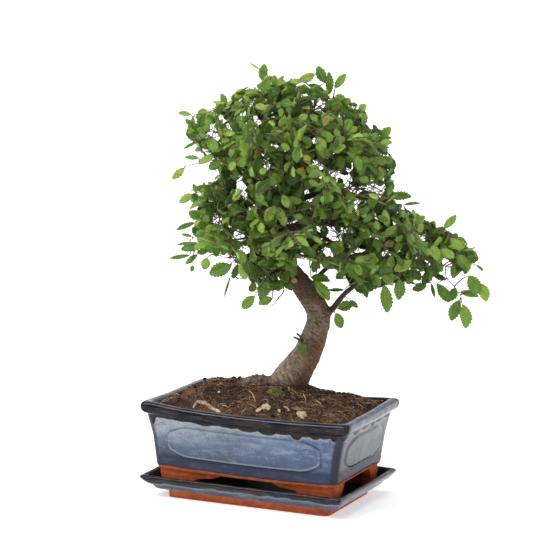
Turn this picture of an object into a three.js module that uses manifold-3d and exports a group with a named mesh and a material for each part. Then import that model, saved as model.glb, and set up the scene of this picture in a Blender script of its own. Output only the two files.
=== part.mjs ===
// A Chinese elm bonsai in a glazed rectangular pot that stands on its drip tray.
// Millimetres, +Z up. The origin is the middle of the tray's flat underside. X runs along the pot's long
// side and -Y is the pot's front.

import * as THREE from 'three';
import { mergeVertices } from 'three/addons/utils/BufferGeometryUtils.js';
import Module from 'manifold-3d';

const wasm = await Module();
wasm.setup();

// Driving dimensions

const GAP = 0.3; // clearance between pieces that touch
const POT_HALF = [102.5, 61.8]; // half length and half depth over the pot's lip
const POT_TOP = 88; // top of the pot's lip
const POT_WALL_BASE = 28.6; // underside of the pot's body, where its feet begin
const POT_FLOOR = 38.4; // inside floor of the pot
const TRAY_HALF = [99.3, 65.1]; // half length and half depth over the tray's lip
const TRAY_FOOT_HALF = [78.9, 48.7];
const TRAY_TOP = 22;
const TRAY_FLOOR = 8;
const TREE_TURN = THREE.MathUtils.degToRad(24.4); // from the pot's long side to the tree's left-right axis
const DRAIN_X = 45; // the two drain holes lie this far left and right of the middle
const DRAIN_RADIUS = 7;
const SCREEN_SIZE = 30;
const SCREEN_THICK = 1.2;
const LEAF_LENGTH = 20;
const LEAF_WIDTH = 12;
const LEAF_THICK = 0.7;
const TWIG_RADIUS = 0.9;
const SHOOT_LENGTH = 52;
const LEAVES_A_SHOOT = 8;
const SAG = 0.1; // how far a shoot's tip hangs below a straight line, for its length
const BRANCH_TIP_RADIUS = 1.2;
const SHOOT_REACH = 0.72; // share of a branch, from its tip inward, that bears shoots

const UP = new THREE.Vector3(0, 0, 1);

// Trunk of the tree in its own frame: x to the right, y to the back, z up, then the radius
const TRUNK = [
  [10, 23, 72, 15],
  [13, 24, 90, 18.5],
  [17, 24, 100, 17.6],
  [25.5, 23.5, 115.4, 14.6],
  [32.8, 23, 128.6, 12.7],
  [39, 22, 144.8, 11.3],
  [43.3, 21, 160.8, 10.7],
  [41.5, 20, 173, 10.4],
  [34, 19, 186, 10],
  [24, 18, 196.3, 9.6],
  [13, 17, 207.4, 9.2],
  [3.7, 16.5, 218.5, 8.8],
  [-1.9, 16, 233.2, 8.2],
  [-2, 15.5, 249.8, 7.4],
  [4, 15, 267.2, 6.6],
  [14, 14, 283.9, 5.8],
  [21.8, 13, 302.2, 4.9],
  [27, 12, 320.5, 3.9],
  [28.6, 12, 338.6, 2.9],
  [27, 12, 354, 1.9],
];

// Roots: the first one shows above the soil, the others are buried
const ROOTS = [
  [[8, 22, 99, 8], [-10, 22, 101.5, 5.6], [-26, 21, 101.5, 5], [-40, 18, 97, 4], [-50, 14, 88, 2.6]],
  [[20, 22, 92, 9], [36, 18, 85, 6], [54, 8, 76, 4], [68, -4, 66, 2.4]],
  [[12, 18, 90, 9], [2, 0, 84, 6], [-6, -22, 74, 4], [-8, -38, 62, 2.4]],
  [[10, 24, 80, 11], [-16, 24, 70, 7], [-40, 22, 60, 4.5], [-58, 20, 52, 2.6]],
];

// Branches in the tree's frame: the route, the radius where it leaves the trunk, the shoots that it bears
// and how much those rise
const BRANCHES = [
  {
    route: [[44, 22, 167], [72, 17, 188], [104, 12, 202], [130, 4, 196]],
    radius: 3.4,
    shoots: 3,
    rise: 0,
  },
  {
    route: [[-1, 16, 240], [38, 8, 243], [74, 2, 240], [106, -4, 234], [128, -8, 226]],
    radius: 4.4,
    shoots: 4,
    rise: 0.1,
  },
  {
    route: [[2, 16, 262], [36, 32, 272], [66, 44, 272], [82, 48, 267]],
    radius: 3.6,
    shoots: 3,
    rise: 0.2,
  },
  {
    route: [[4, 16, 218], [-12, 4, 222], [-22, -4, 222], [-30, -10, 221]],
    radius: 3,
    shoots: 3,
    rise: 0.2,
  },
  {
    route: [[-1, 15, 248], [-18, 8, 256], [-30, 2, 260], [-38, -2, 261]],
    radius: 3.2,
    shoots: 3,
    rise: 0.2,
  },
  {
    route: [[4, 15, 268], [-12, 14, 284], [-24, 10, 298], [-32, 6, 306]],
    radius: 3,
    shoots: 3,
    rise: 0.1,
  },
  {
    route: [[0, 16, 238], [6, -8, 250], [10, -26, 254], [12, -36, 252]],
    radius: 2.8,
    shoots: 2,
    rise: 0.2,
  },
  {
    route: [[14, 14, 284], [34, -8, 290], [50, -22, 290], [60, -30, 286]],
    radius: 2.8,
    shoots: 3,
    rise: 0.2,
  },
  {
    route: [[4, 15, 266], [-2, 36, 276], [-6, 52, 280], [-8, 60, 280]],
    radius: 2.8,
    shoots: 2,
    rise: 0.3,
  },
  {
    route: [[22, 13, 302], [38, 12, 311], [50, 12, 315], [58, 12, 314]],
    radius: 2.8,
    shoots: 3,
    rise: 0.25,
  },
  {
    route: [[27, 12, 320], [38, 28, 328], [46, 40, 330]],
    radius: 2.4,
    shoots: 2,
    rise: 0.3,
  },
  {
    route: [[28, 12, 328], [20, 8, 338], [11, 4, 345]],
    radius: 2.2,
    shoots: 2,
    rise: 0.3,
  },
  {
    route: [[22, 13, 300], [10, -10, 310], [0, -24, 314]],
    radius: 2.4,
    shoots: 2,
    rise: 0.3,
  },
  {
    route: [[-2, 16, 252], [-20, 32, 262], [-32, 42, 266]],
    radius: 2.6,
    shoots: 2,
    rise: 0.2,
  },
  {
    route: [[34, 20, 186], [48, 38, 202], [68, 50, 212], [84, 56, 216]],
    radius: 2.8,
    shoots: 2,
    rise: 0.1,
  },
  {
    route: [[12, 17, 208], [2, 0, 206], [-4, -12, 202]],
    radius: 2,
    shoots: 1,
    rise: 0,
  },
  {
    route: [[27, 12, 340], [29, 9, 346], [32, 6, 350]],
    radius: 1.8,
    shoots: 2,
    rise: 0.1,
  },
  {
    route: [[-2, 16, 233], [-16, -8, 240], [-28, -24, 240]],
    radius: 2.4,
    shoots: 2,
    rise: 0.1,
  },
  {
    route: [[38, 8, 243], [56, -14, 234], [68, -30, 222]],
    radius: 2.2,
    shoots: 2,
    rise: -0.3,
  },
  {
    route: [[10, 14, 212], [20, -4, 222], [34, -16, 224]],
    radius: 2,
    shoots: 2,
    rise: 0,
  },
];

// A young shoot low on the trunk: where its twig comes out of the bark, and which way it grows
const SPROUT = {
  start: [27.6, 13.6, 139],
  direction: [-0.5, -0.75, 0.2],
  length: 12,
  leaves: 3,
  leafLength: 10,
};

// Colours and finishes

function finish(color, roughness, metalness = 0) {
  return new THREE.MeshStandardMaterial({ color, roughness, metalness });
}

const GLAZE = finish(0x5d7391, 0.18);
const SCREEN_PLASTIC = finish(0x1d1f1c, 0.6);
const PEAT = finish(0x4a2c1c, 0.95);
const BARK = finish(0x6f5d50, 0.85);
const FOLIAGE = finish(0x4c7a2a, 0.5);
const MOSS = finish(0x6f7d24, 0.95);
const DRY_LEAF = finish(0xc2a860, 0.8);

// Solids: closed meshes that are joined to or cut out of one another

function manifoldOf(geometry) {
  const bare = geometry.clone();
  bare.deleteAttribute('normal');
  bare.deleteAttribute('uv');
  const merged = mergeVertices(bare, 1e-4);
  return new wasm.Manifold(new wasm.Mesh({
    numProp: 3,
    vertProperties: new Float32Array(merged.attributes.position.array),
    triVerts: new Uint32Array(merged.index.array),
  }));
}

function geometryOf(manifold) {
  const mesh = manifold.getMesh();
  const geometry = new THREE.BufferGeometry();
  geometry.setAttribute('position', new THREE.BufferAttribute(new Float32Array(mesh.vertProperties), 3));
  geometry.setIndex(new THREE.BufferAttribute(new Uint32Array(mesh.triVerts), 1));
  geometry.computeVertexNormals();
  return geometry;
}

function unionOf(manifolds) {
  return manifolds.reduce((whole, piece) => whole.add(piece));
}

function triangleList(points, triangles) {
  const geometry = new THREE.BufferGeometry();
  geometry.setAttribute('position', new THREE.BufferAttribute(new Float32Array(points.flat()), 3));
  geometry.setIndex(triangles.flat());
  geometry.computeVertexNormals();
  return geometry;
}

// Triangles of the walls between rings that hold the same number of points
function wallTriangles(rings) {
  const count = rings[0].length;
  const triangles = [];
  for (let ring = 0; ring < rings.length - 1; ring += 1) {
    for (let side = 0; side < count; side += 1) {
      const next = (side + 1) % count;
      const low = ring * count;
      const high = low + count;
      triangles.push([low + side, low + next, high + next], [low + side, high + next, high + side]);
    }
  }
  return triangles;
}

// Skins through rings of points that run anticlockwise seen from above, and caps the first and last ring
function loft(rings) {
  const triangles = wallTriangles(rings);
  const flat = (ring) => ring.map(([x, y]) => new THREE.Vector2(x, y));
  const last = (rings.length - 1) * rings[0].length;
  for (const [a, b, c] of THREE.ShapeUtils.triangulateShape(flat(rings[0]), [])) {
    triangles.push([a, c, b]);
  }
  for (const [a, b, c] of THREE.ShapeUtils.triangulateShape(flat(rings.at(-1)), [])) {
    triangles.push([last + a, last + b, last + c]);
  }
  return triangleList(rings.flat(), triangles);
}

// Skins rings whose last one is convex and faces outward, with fans as caps
function plate(rings) {
  const triangles = wallTriangles(rings);
  const count = rings[0].length;
  const last = (rings.length - 1) * count;
  for (let side = 1; side < count - 1; side += 1) {
    triangles.push([0, side + 1, side], [last, last + side, last + side + 1]);
  }
  return triangleList(rings.flat(), triangles);
}

function roundedRectangle(halfX, halfY, radius, steps = 2) {
  const outline = [];
  const corners = [[1, 1], [-1, 1], [-1, -1], [1, -1]];
  corners.forEach(([signX, signY], corner) => {
    for (let step = 0; step <= steps; step += 1) {
      const angle = (corner + step / steps) * Math.PI / 2;
      outline.push([
        signX * (halfX - radius) + radius * Math.cos(angle),
        signY * (halfY - radius) + radius * Math.sin(angle),
      ]);
    }
  });
  return outline;
}

// One ring of a vessel from its half length, half depth, corner radius and height
function vesselRing([halfX, halfY, radius, z]) {
  return roundedRectangle(halfX, halfY, radius).map(([x, y]) => [x, y, z]);
}

// Drip tray: foot slab, stepped flaring side, rounded lip, inside floor

function dripTray() {
  const [lipX, lipY] = TRAY_HALF;
  const [footX, footY] = TRAY_FOOT_HALF;
  return loft([
    [footX, footY, 7, 0],
    [footX + 0.4, footY + 0.4, 7, 6.5],
    [lipX - 10, lipY - 9.4, 6, 8.6],
    [lipX - 7.6, lipY - 7.2, 6, 12],
    [lipX - 4.2, lipY - 4, 5, 14.2],
    [lipX - 1, lipY - 1, 4, 18],
    [lipX, lipY, 3.5, 19.6],
    [lipX - 0.3, lipY - 0.3, 3.5, 21.2],
    [lipX - 2.2, lipY - 2.2, 4, TRAY_TOP],
    [lipX - 4.6, lipY - 4.6, 6, 21.2],
    [lipX - 9, lipY - 8.6, 7, 12],
    [lipX - 11.6, lipY - 11, 6, TRAY_FLOOR],
  ].map(vesselRing));
}

// Pot: body, four corner feet, a raised panel on each face, two drain holes

const WALL_LOW = { x: 88, y: 54.6, z: 38 }; // outside of the pot's wall near the bottom
const WALL_HIGH = { x: 97.3, y: 57.6, z: 77 }; // outside of the pot's wall under the lip

function potBody() {
  const [lipX, lipY] = POT_HALF;
  return loft([
    [85.4, 52.4, 6, POT_WALL_BASE],
    [87.3, 54.2, 7, POT_WALL_BASE + 2.6],
    [WALL_LOW.x, WALL_LOW.y, 7, WALL_LOW.z],
    [WALL_HIGH.x, WALL_HIGH.y, 8, WALL_HIGH.z],
    [lipX - 1.6, lipY - 1.6, 4, 78.4],
    [lipX, lipY, 3.5, 81],
    [lipX, lipY, 3.5, 85],
    [lipX - 1.4, lipY - 1.4, 4, 87.2],
    [lipX - 4.4, lipY - 4.4, 5, POT_TOP],
    [lipX - 7.4, lipY - 7.4, 6, 87.2],
    [93.6, 52.9, 6, 84.6],
    [91.6, 52, 6, 78],
    [83.4, 49.2, 5, 43],
    [81, 46.8, 5, POT_FLOOR],
  ].map(vesselRing));
}

const FOOT = {
  outerX: 85,
  outerY: 51.4,
  alongX: 58,
  alongY: 22,
  width: 12,
  chamfer: 3,
};

// From a foot's sole up into the pot: how far its free ends are cut back and how much narrower it is
const FOOT_STAGES = [
  { z: TRAY_FLOOR + GAP, shortX: 30, shortY: 8, inset: 1.2 },
  { z: 22.4, shortX: 26, shortY: 4, inset: 0.4 },
  { z: 24.4, shortX: 9, shortY: 3, inset: 0 },
  { z: POT_WALL_BASE - 0.6, shortX: 0, shortY: 0, inset: 0 },
  { z: POT_WALL_BASE + 2, shortX: 0, shortY: 0, inset: 0 },
];

// L-shaped outline of a foot in the +x +y corner
function footOutline({ shortX, shortY, inset }) {
  const x = FOOT.outerX - inset;
  const y = FOOT.outerY - inset;
  const innerX = FOOT.outerX - FOOT.width + inset;
  const innerY = FOOT.outerY - FOOT.width + inset;
  const endX = FOOT.outerX - FOOT.alongX + shortX;
  const endY = FOOT.outerY - FOOT.alongY + shortY;
  return [
    [x, endY],
    [x, y - FOOT.chamfer],
    [x - FOOT.chamfer, y],
    [endX, y],
    [endX, innerY],
    [innerX, innerY],
    [innerX, endY],
  ];
}

function potFoot(signX, signY) {
  const place = (outline, z) => {
    const ring = outline.map(([x, y]) => [signX * x, signY * y, z]);
    return signX * signY > 0 ? ring : ring.reverse();
  };
  return loft(FOOT_STAGES.map((stage) => place(footOutline(stage), stage.z)));
}

const PANEL = {
  low: 43,
  high: 68,
  proud: 0.9,
  rooted: 2,
  bevel: 1.2,
  corner: 10,
  halfLong: 74,
  halfShort: 40.6,
};

// Raised panel with rounded corners on one of the pot's four leaning faces
function potPanel(axis, sign) {
  const half = axis === 'y' ? PANEL.halfLong : PANEL.halfShort;
  const lean = (WALL_HIGH[axis] - WALL_LOW[axis]) / (WALL_HIGH.z - WALL_LOW.z);
  const middle = (PANEL.low + PANEL.high) / 2;
  const halfTall = (PANEL.high - PANEL.low) / 2;
  const ring = (inset, out) => roundedRectangle(half - inset, halfTall - inset, PANEL.corner - inset)
    .map(([u, v]) => {
      const z = middle + v - out * lean;
      const wall = WALL_LOW[axis] + (middle + v - WALL_LOW.z) * lean + out;
      return axis === 'y' ? [-sign * u, sign * wall, z] : [sign * wall, sign * u, z];
    });
  return plate([ring(0, -PANEL.rooted), ring(0, 0.1), ring(PANEL.bevel, PANEL.proud)]);
}

function drainHole(x) {
  const height = 4 * (POT_FLOOR - POT_WALL_BASE);
  const hole = new THREE.CylinderGeometry(DRAIN_RADIUS, DRAIN_RADIUS, height, 16);
  hole.rotateX(Math.PI / 2);
  hole.translate(x, 0, POT_WALL_BASE);
  return hole;
}

function pot() {
  const feet = [[1, 1], [-1, 1], [-1, -1], [1, -1]].map(([x, y]) => potFoot(x, y));
  const panels = [['y', -1], ['y', 1], ['x', 1], ['x', -1]].map(([axis, sign]) => potPanel(axis, sign));
  const body = unionOf([potBody(), ...feet, ...panels].map(manifoldOf));
  const holes = unionOf([drainHole(DRAIN_X), drainHole(-DRAIN_X)].map(manifoldOf));
  return geometryOf(body.subtract(holes));
}

// Mesh screen over a drain hole: a square plate with rows of square holes

function drainScreen() {
  const sheet = new THREE.BoxGeometry(SCREEN_SIZE, SCREEN_SIZE, SCREEN_THICK);
  const rows = 4;
  const pitch = SCREEN_SIZE / (rows + 0.4);
  const opening = pitch * 0.66;
  const holes = [];
  for (let row = 0; row < rows; row += 1) {
    for (let column = 0; column < rows; column += 1) {
      const hole = new THREE.BoxGeometry(opening, opening, 2 * SCREEN_THICK);
      hole.translate((column - (rows - 1) / 2) * pitch, (row - (rows - 1) / 2) * pitch, 0);
      holes.push(manifoldOf(hole));
    }
  }
  return geometryOf(manifoldOf(sheet).subtract(unionOf(holes)));
}

// Soil: a mound that fills the pot, higher at the back left and falling away right of the trunk

const SOIL_HALF = [93, 52.3];
const SOIL_EDGE = 84.6;
const SOIL_RISE = 16.5;
const SOIL_FRONT_FALL = 0.3;
const SOIL_RIGHT_FALL = 0.4;

function soilHeight(x, y) {
  const [halfX, halfY] = SOIL_HALF;
  const edge = (1 - Math.min(1, Math.abs(x / halfX)) ** 6) * (1 - Math.min(1, Math.abs(y / halfY)) ** 6);
  const front = 1 - SOIL_FRONT_FALL * Math.max(0, -y / halfY);
  const right = 1 - SOIL_RIGHT_FALL * THREE.MathUtils.clamp((x - 8) / 25, 0, 1);
  return SOIL_EDGE + SOIL_RISE * edge * front * right;
}

const LONG_SIDE_SPLITS = 5;
const SHORT_SIDE_SPLITS = 3;

// Adds points along the straight sides of a rounded rectangle, more of them on the long sides
function withSidePoints(outline) {
  const points = [];
  const cornerPoints = outline.length / 4;
  outline.forEach(([x, y], index) => {
    points.push([x, y]);
    const endsCorner = (index + 1) % cornerPoints === 0;
    const corner = Math.floor(index / cornerPoints);
    const sideSplits = corner % 2 === 0 ? LONG_SIDE_SPLITS : SHORT_SIDE_SPLITS;
    const splits = endsCorner ? sideSplits : 1;
    const [nextX, nextY] = outline[(index + 1) % outline.length];
    for (let split = 1; split < splits; split += 1) {
      points.push([x + (nextX - x) * split / splits, y + (nextY - y) * split / splits]);
    }
  });
  return points;
}

function soilBlock() {
  const [halfX, halfY] = SOIL_HALF;
  const ringAt = (x, y, radius, height) => withSidePoints(roundedRectangle(x, y, radius))
    .map(([px, py]) => [px, py, height(px, py)]);
  const walls = [
    [80.6, 46.4, 5, POT_FLOOR + GAP],
    [83, 48.8, 5, 43.1],
    [91.2, 51.6, 6, 78],
    [halfX, halfY, 6, SOIL_EDGE - 0.6],
  ].map(([x, y, radius, z]) => ringAt(x, y, radius, () => z));
  const surface = [0.97, 0.91, 0.82, 0.7, 0.54, 0.36, 0.18]
    .map((scale) => ringAt(halfX * scale, halfY * scale, 6, soilHeight));
  return loft([...walls, ...surface]);
}

// Round limb that follows a route of [x, y, z, radius] points

function limb(route, sides, stepsAPoint, grow = 0) {
  const spine = new THREE.CatmullRomCurve3(route.map(([x, y, z]) => new THREE.Vector3(x, y, z)));
  const radii = new THREE.SplineCurve(route.map((point, index) => new THREE.Vector2(index, point[3])));
  const steps = (route.length - 1) * stepsAPoint;
  const geometry = new THREE.CylinderGeometry(1, 1, 1, sides, steps);
  const frames = [];
  let normal = new THREE.Vector3(0.31, -0.95, 0.02);
  for (let step = 0; step <= steps; step += 1) {
    const tangent = spine.getTangent(step / steps);
    normal = normal.clone().addScaledVector(tangent, -normal.dot(tangent)).normalize();
    frames.push({
      centre: spine.getPoint(step / steps),
      normal,
      binormal: new THREE.Vector3().crossVectors(normal, tangent),
      radius: radii.getPoint(step / steps).y + grow,
    });
  }
  const position = geometry.attributes.position;
  for (let index = 0; index < position.count; index += 1) {
    const step = Math.round((position.getY(index) + 0.5) * steps);
    const { centre, normal: across, binormal, radius } = frames[step];
    const moved = centre.clone()
      .addScaledVector(across, position.getX(index) * radius)
      .addScaledVector(binormal, position.getZ(index) * radius);
    position.setXYZ(index, moved.x, moved.y, moved.z);
  }
  return geometry;
}

// Branch route with its radius added: thick at the trunk, thin at the tip
function branchRoute({ route, radius }) {
  const last = route.length - 1;
  return route.map(([x, y, z], index) => [x, y, z, radius + (BRANCH_TIP_RADIUS - radius) * index / last]);
}

function treeWood(grow = 0) {
  const parts = [limb(TRUNK, 10, 1, grow)];
  ROOTS.forEach((route) => parts.push(limb(route, 7, 1, grow)));
  if (grow === 0) {
    BRANCHES.forEach((branch) => parts.push(limb(branchRoute(branch), 5, 1)));
  }
  return unionOf(parts.map(manifoldOf));
}

function soil() {
  const turned = geometryOf(treeWood(GAP)).applyMatrix4(new THREE.Matrix4().makeRotationZ(TREE_TURN));
  const pockets = [DRAIN_X, -DRAIN_X].map((x) => {
    const side = SCREEN_SIZE + 2 * GAP;
    const pocket = new THREE.BoxGeometry(side, side, 2 * (SCREEN_THICK + GAP));
    pocket.translate(x, 0, POT_FLOOR + GAP);
    return manifoldOf(pocket);
  });
  const block = manifoldOf(soilBlock()).subtract(manifoldOf(turned)).subtract(unionOf(pockets));
  const pieces = block.decompose().sort((a, b) => b.volume() - a.volume());
  return geometryOf(pieces[0]);
}

// Shoots: twigs with leaves on both sides, borne by the branches

// A repeatable number from 0 to 1 for each pair of counts
function scatter(first, second) {
  const wave = Math.sin(first * 12.9898 + second * 78.233) * 43758.5453;
  return wave - Math.floor(wave);
}

const CROWN_AXIS = new THREE.Vector3(25, 14, 0);
const SIDE_SHOOT = { forward: 0.45, spread: 0.5, lift: 0.8 };

// Where shoot number k of branch number b starts, which way it grows and which way its leaves face
function shootPlan(b, k) {
  const { radius: thick, shoots, rise } = BRANCHES[b];
  const route = branchRoute(BRANCHES[b]);
  const spine = new THREE.CatmullRomCurve3(route.map(([x, y, z]) => new THREE.Vector3(x, y, z)));
  const along = 1 - SHOOT_REACH * k / shoots;
  const tangent = spine.getTangent(along);
  const across = new THREE.Vector3().crossVectors(tangent, UP).normalize();
  const side = (b + k) % 2 === 0 ? 1 : -1;
  const direction = tangent.clone();
  if (k === 0) {
    direction.addScaledVector(UP, rise);
  } else {
    direction.multiplyScalar(SIDE_SHOOT.forward);
    direction.addScaledVector(across, side * SIDE_SHOOT.spread * (1 + scatter(b, k)));
    direction.addScaledVector(UP, rise + SIDE_SHOOT.lift * (scatter(k, b + 7) - 0.2));
  }
  direction.normalize();
  const radius = thick + (BRANCH_TIP_RADIUS - thick) * along;
  const slant = Math.abs(direction.dot(tangent));
  const clear = k === 0 ? GAP : (0.94 * radius + TWIG_RADIUS * slant + GAP) / Math.sqrt(1 - slant * slant);
  const start = spine.getPoint(along).addScaledVector(direction, clear);
  const outward = start.clone().sub(CROWN_AXIS).setZ(0).normalize();
  const facing = UP.clone().multiplyScalar(0.6).addScaledVector(outward, 0.5);
  facing.y += (outward.y > 0.3 ? 0.7 : -0.7) * (0.3 + scatter(b + 3, k));
  facing.addScaledVector(direction, -facing.dot(direction)).normalize();
  const length = SHOOT_LENGTH * (0.85 + 0.3 * scatter(b + 11, k));
  return { start, direction, facing, length };
}

function leafBlade(base, direction, facing, length, grow = 0) {
  const blade = new THREE.SphereGeometry(1, 4, 2);
  blade.scale(length / 2 + grow, LEAF_THICK / 2 + grow, LEAF_WIDTH / 2 * length / LEAF_LENGTH + grow);
  const side = new THREE.Vector3().crossVectors(direction, facing).normalize();
  const up = new THREE.Vector3().crossVectors(side, direction);
  blade.applyMatrix4(new THREE.Matrix4().makeBasis(direction, up, side));
  const centre = base.clone().addScaledVector(direction, length / 2);
  return blade.translate(centre.x, centre.y, centre.z);
}

function meets(solid, grownBefore) {
  const box = solid.boundingBox();
  return grownBefore.some((other) => {
    const apart = [0, 1, 2]
      .some((axis) => box.min[axis] > other.box.max[axis] || box.max[axis] < other.box.min[axis]);
    return !apart && solid.intersect(other.solid).volume() > 1e-4;
  });
}

const LEAF_TURN = { side: 0.95, more: 0.3, last: 0.1 }; // angle between a leaf and its twig, in radians
const LEAF_CLEARANCE = 0.35;

// A leaf that would cut through the wood or another shoot isn't grown
function growShoot(plan, grownBefore, seed) {
  const { start, direction, facing, length, leaves = LEAVES_A_SHOOT, leafSize = LEAF_LENGTH } = plan;
  const side = new THREE.Vector3().crossVectors(direction, facing);
  const point = (s) => start.clone()
    .addScaledVector(direction, s * length)
    .addScaledVector(UP, -SAG * length * s * s);
  const twigRoute = [0, 0.5, 1].map((s) => [...point(s), TWIG_RADIUS * (1 - 0.35 * s)]);
  const parts = [manifoldOf(limb(twigRoute, 4, 1))];
  for (let k = 0; k < leaves; k += 1) {
    const s = 0.16 + 0.82 * k / (leaves - 1);
    const spread = k === leaves - 1 ? LEAF_TURN.last : LEAF_TURN.side + LEAF_TURN.more * scatter(seed, k);
    const turn = k % 2 === 0 ? spread : -spread;
    const leafWay = direction.clone().multiplyScalar(Math.cos(turn)).addScaledVector(side, Math.sin(turn));
    leafWay.addScaledVector(facing, 0.35 * (scatter(k, seed) - 0.4)).normalize();
    const leafFacing = facing.clone().addScaledVector(direction, 0.6 * (scatter(k + 5, seed) - 0.5));
    const leafLength = leafSize * (0.85 + 0.25 * scatter(k + 9, seed));
    const base = point(s).addScaledVector(leafWay, -0.3);
    if (!meets(manifoldOf(leafBlade(base, leafWay, leafFacing, leafLength, LEAF_CLEARANCE)), grownBefore)) {
      parts.push(manifoldOf(leafBlade(base, leafWay, leafFacing, leafLength)));
    }
  }
  return unionOf(parts);
}

// Small things that lie on the soil

const soilMesh = new THREE.Mesh(soil());
const probe = new THREE.Raycaster();

// Height of the soil's facets straight below a point
function groundAt(x, y) {
  probe.set(new THREE.Vector3(x, y, 2 * POT_TOP), UP.clone().negate());
  return probe.intersectObject(soilMesh)[0].point.z;
}

// Plate that follows the soil's surface: a round outline of given half sizes, domed to a given height
function soilPatch(x, y, halfX, halfY, thick, turn = 0) {
  const geometry = new THREE.SphereGeometry(1, 9, 4);
  const position = geometry.attributes.position;
  for (let index = 0; index < position.count; index += 1) {
    const u = position.getX(index) * halfX;
    const v = -position.getZ(index) * halfY;
    const px = x + u * Math.cos(turn) - v * Math.sin(turn);
    const py = y + u * Math.sin(turn) + v * Math.cos(turn);
    const rise = (position.getY(index) + 1) / 2 * thick;
    position.setXYZ(index, px, py, groundAt(px, py) + GAP + rise);
  }
  return geometry;
}

function curledRoot() {
  const route = [
    [-60, -46.5, 0.4, 1.3],
    [-55, -44, 2.6, 1.7],
    [-47, -44.5, 2.2, 1.7],
    [-39, -46.8, 0.3, 1.4],
    [-33, -48.5, 0.3, 1],
  ];
  const seated = route.map(([x, y, lift, radius]) => [x, y, groundAt(x, y) + lift + radius + GAP, radius]);
  return limb(seated, 7, 2);
}

// The whole, each piece under its own name

const bonsai = new THREE.Group();
const tree = new THREE.Group();
tree.rotation.z = TREE_TURN;
bonsai.add(tree);

function addPiece(parent, name, geometry, material) {
  const mesh = new THREE.Mesh(geometry, material);
  mesh.name = name;
  parent.add(mesh);
  return mesh;
}

const SCREEN_HEIGHT = POT_FLOOR + GAP + SCREEN_THICK / 2;

addPiece(bonsai, 'drip_tray', dripTray(), GLAZE);
addPiece(bonsai, 'pot', pot(), GLAZE);
for (const [name, x] of [['drain_screen_left', -DRAIN_X], ['drain_screen_right', DRAIN_X]]) {
  addPiece(bonsai, name, drainScreen(), SCREEN_PLASTIC).position.set(x, 0, SCREEN_HEIGHT);
}
addPiece(bonsai, 'soil', soilMesh.geometry, PEAT);
addPiece(bonsai, 'curled_root', curledRoot(), BARK);
addPiece(bonsai, 'moss_cushion', soilPatch(14.5, -20, 8, 5.5, 3), MOSS);
addPiece(bonsai, 'fallen_leaf_1', soilPatch(12.5, -43, 5.5, 3, 0.9, 0.3), DRY_LEAF);
addPiece(bonsai, 'fallen_leaf_2', soilPatch(49, -44, 5.5, 2.6, 0.9, -0.2), DRY_LEAF);

const wood = treeWood();
addPiece(tree, 'trunk_and_branches', geometryOf(wood), BARK);

const grown = [{ solid: wood, box: wood.boundingBox() }];
let shootNumber = 0;
BRANCHES.forEach((branch, b) => {
  for (let k = 0; k < branch.shoots; k += 1) {
    shootNumber += 1;
    const solid = growShoot(shootPlan(b, k), grown, shootNumber);
    grown.push({ solid, box: solid.boundingBox() });
    addPiece(tree, `shoot_${String(shootNumber).padStart(2, '0')}`, geometryOf(solid), FOLIAGE);
  }
});

const sproutWay = new THREE.Vector3(...SPROUT.direction).normalize();
const sprout = growShoot({
  start: new THREE.Vector3(...SPROUT.start),
  direction: sproutWay,
  facing: UP.clone().addScaledVector(sproutWay, -UP.dot(sproutWay)).normalize(),
  length: SPROUT.length,
  leaves: SPROUT.leaves,
  leafSize: SPROUT.leafLength,
}, grown, 0);
addPiece(tree, 'trunk_sprout', geometryOf(sprout), FOLIAGE);

export default bonsai;
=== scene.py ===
import math
import random

import bmesh
import bpy
import numpy as np
from mathutils import Matrix, Vector, kdtree, noise
from mathutils.geometry import tessellate_polygon


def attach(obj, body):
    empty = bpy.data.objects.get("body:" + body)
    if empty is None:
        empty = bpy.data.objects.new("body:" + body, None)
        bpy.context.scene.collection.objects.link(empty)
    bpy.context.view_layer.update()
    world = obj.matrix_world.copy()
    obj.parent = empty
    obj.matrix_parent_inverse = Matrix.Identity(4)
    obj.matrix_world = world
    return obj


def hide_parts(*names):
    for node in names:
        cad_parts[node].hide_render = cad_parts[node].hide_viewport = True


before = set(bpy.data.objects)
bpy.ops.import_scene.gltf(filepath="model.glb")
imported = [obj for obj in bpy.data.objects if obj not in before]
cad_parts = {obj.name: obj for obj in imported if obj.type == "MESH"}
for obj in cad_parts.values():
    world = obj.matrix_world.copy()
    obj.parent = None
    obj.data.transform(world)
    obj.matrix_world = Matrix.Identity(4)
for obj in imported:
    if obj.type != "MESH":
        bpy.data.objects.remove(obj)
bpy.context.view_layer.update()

# Looks of a Chinese elm bonsai in a glazed pot on its drip tray. Sizes are in millimetres, in the frame of
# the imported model: X along the pot's long side, -Y out of its front, Z up. They become metres in a mesh.

MM = 0.001
UP = np.array([0.0, 0.0, 1.0])
rng = random.Random(11)
FULL_TURN = 6.28

# Shared sizes of the pot, the tray and the soil

POT_HALF = (102.5, 61.8)
POT_TOP = 88.0
POT_WALL_BASE = 28.6
POT_FLOOR = 38.4
WALL_LOW_Z = 38.0
WALL_HIGH_Z = 77.0
TRAY_HALF = (99.3, 65.1)
TRAY_FOOT_HALF = (78.9, 48.7)
TRAY_FLOOR = 8.0
DRAIN_X = 45.0
DRAIN_RADIUS = 7.0
SOIL_HALF = (93.0, 52.3)
SOIL_EDGE = 84.6
SOIL_RISE = 16.5

# Where the photograph is taken from, in degrees: to the right of the pot's front, and above it

VIEW_AZIMUTH = 24.4
VIEW_ELEVATION = 9.7

# The tree's own frame: x to the right in the photograph, y away from the viewer, z up

TREE_TURN = math.radians(VIEW_AZIMUTH)
TREE_X = np.array([math.cos(TREE_TURN), math.sin(TREE_TURN), 0.0])
TREE_Y = np.array([-math.sin(TREE_TURN), math.cos(TREE_TURN), 0.0])

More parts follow.
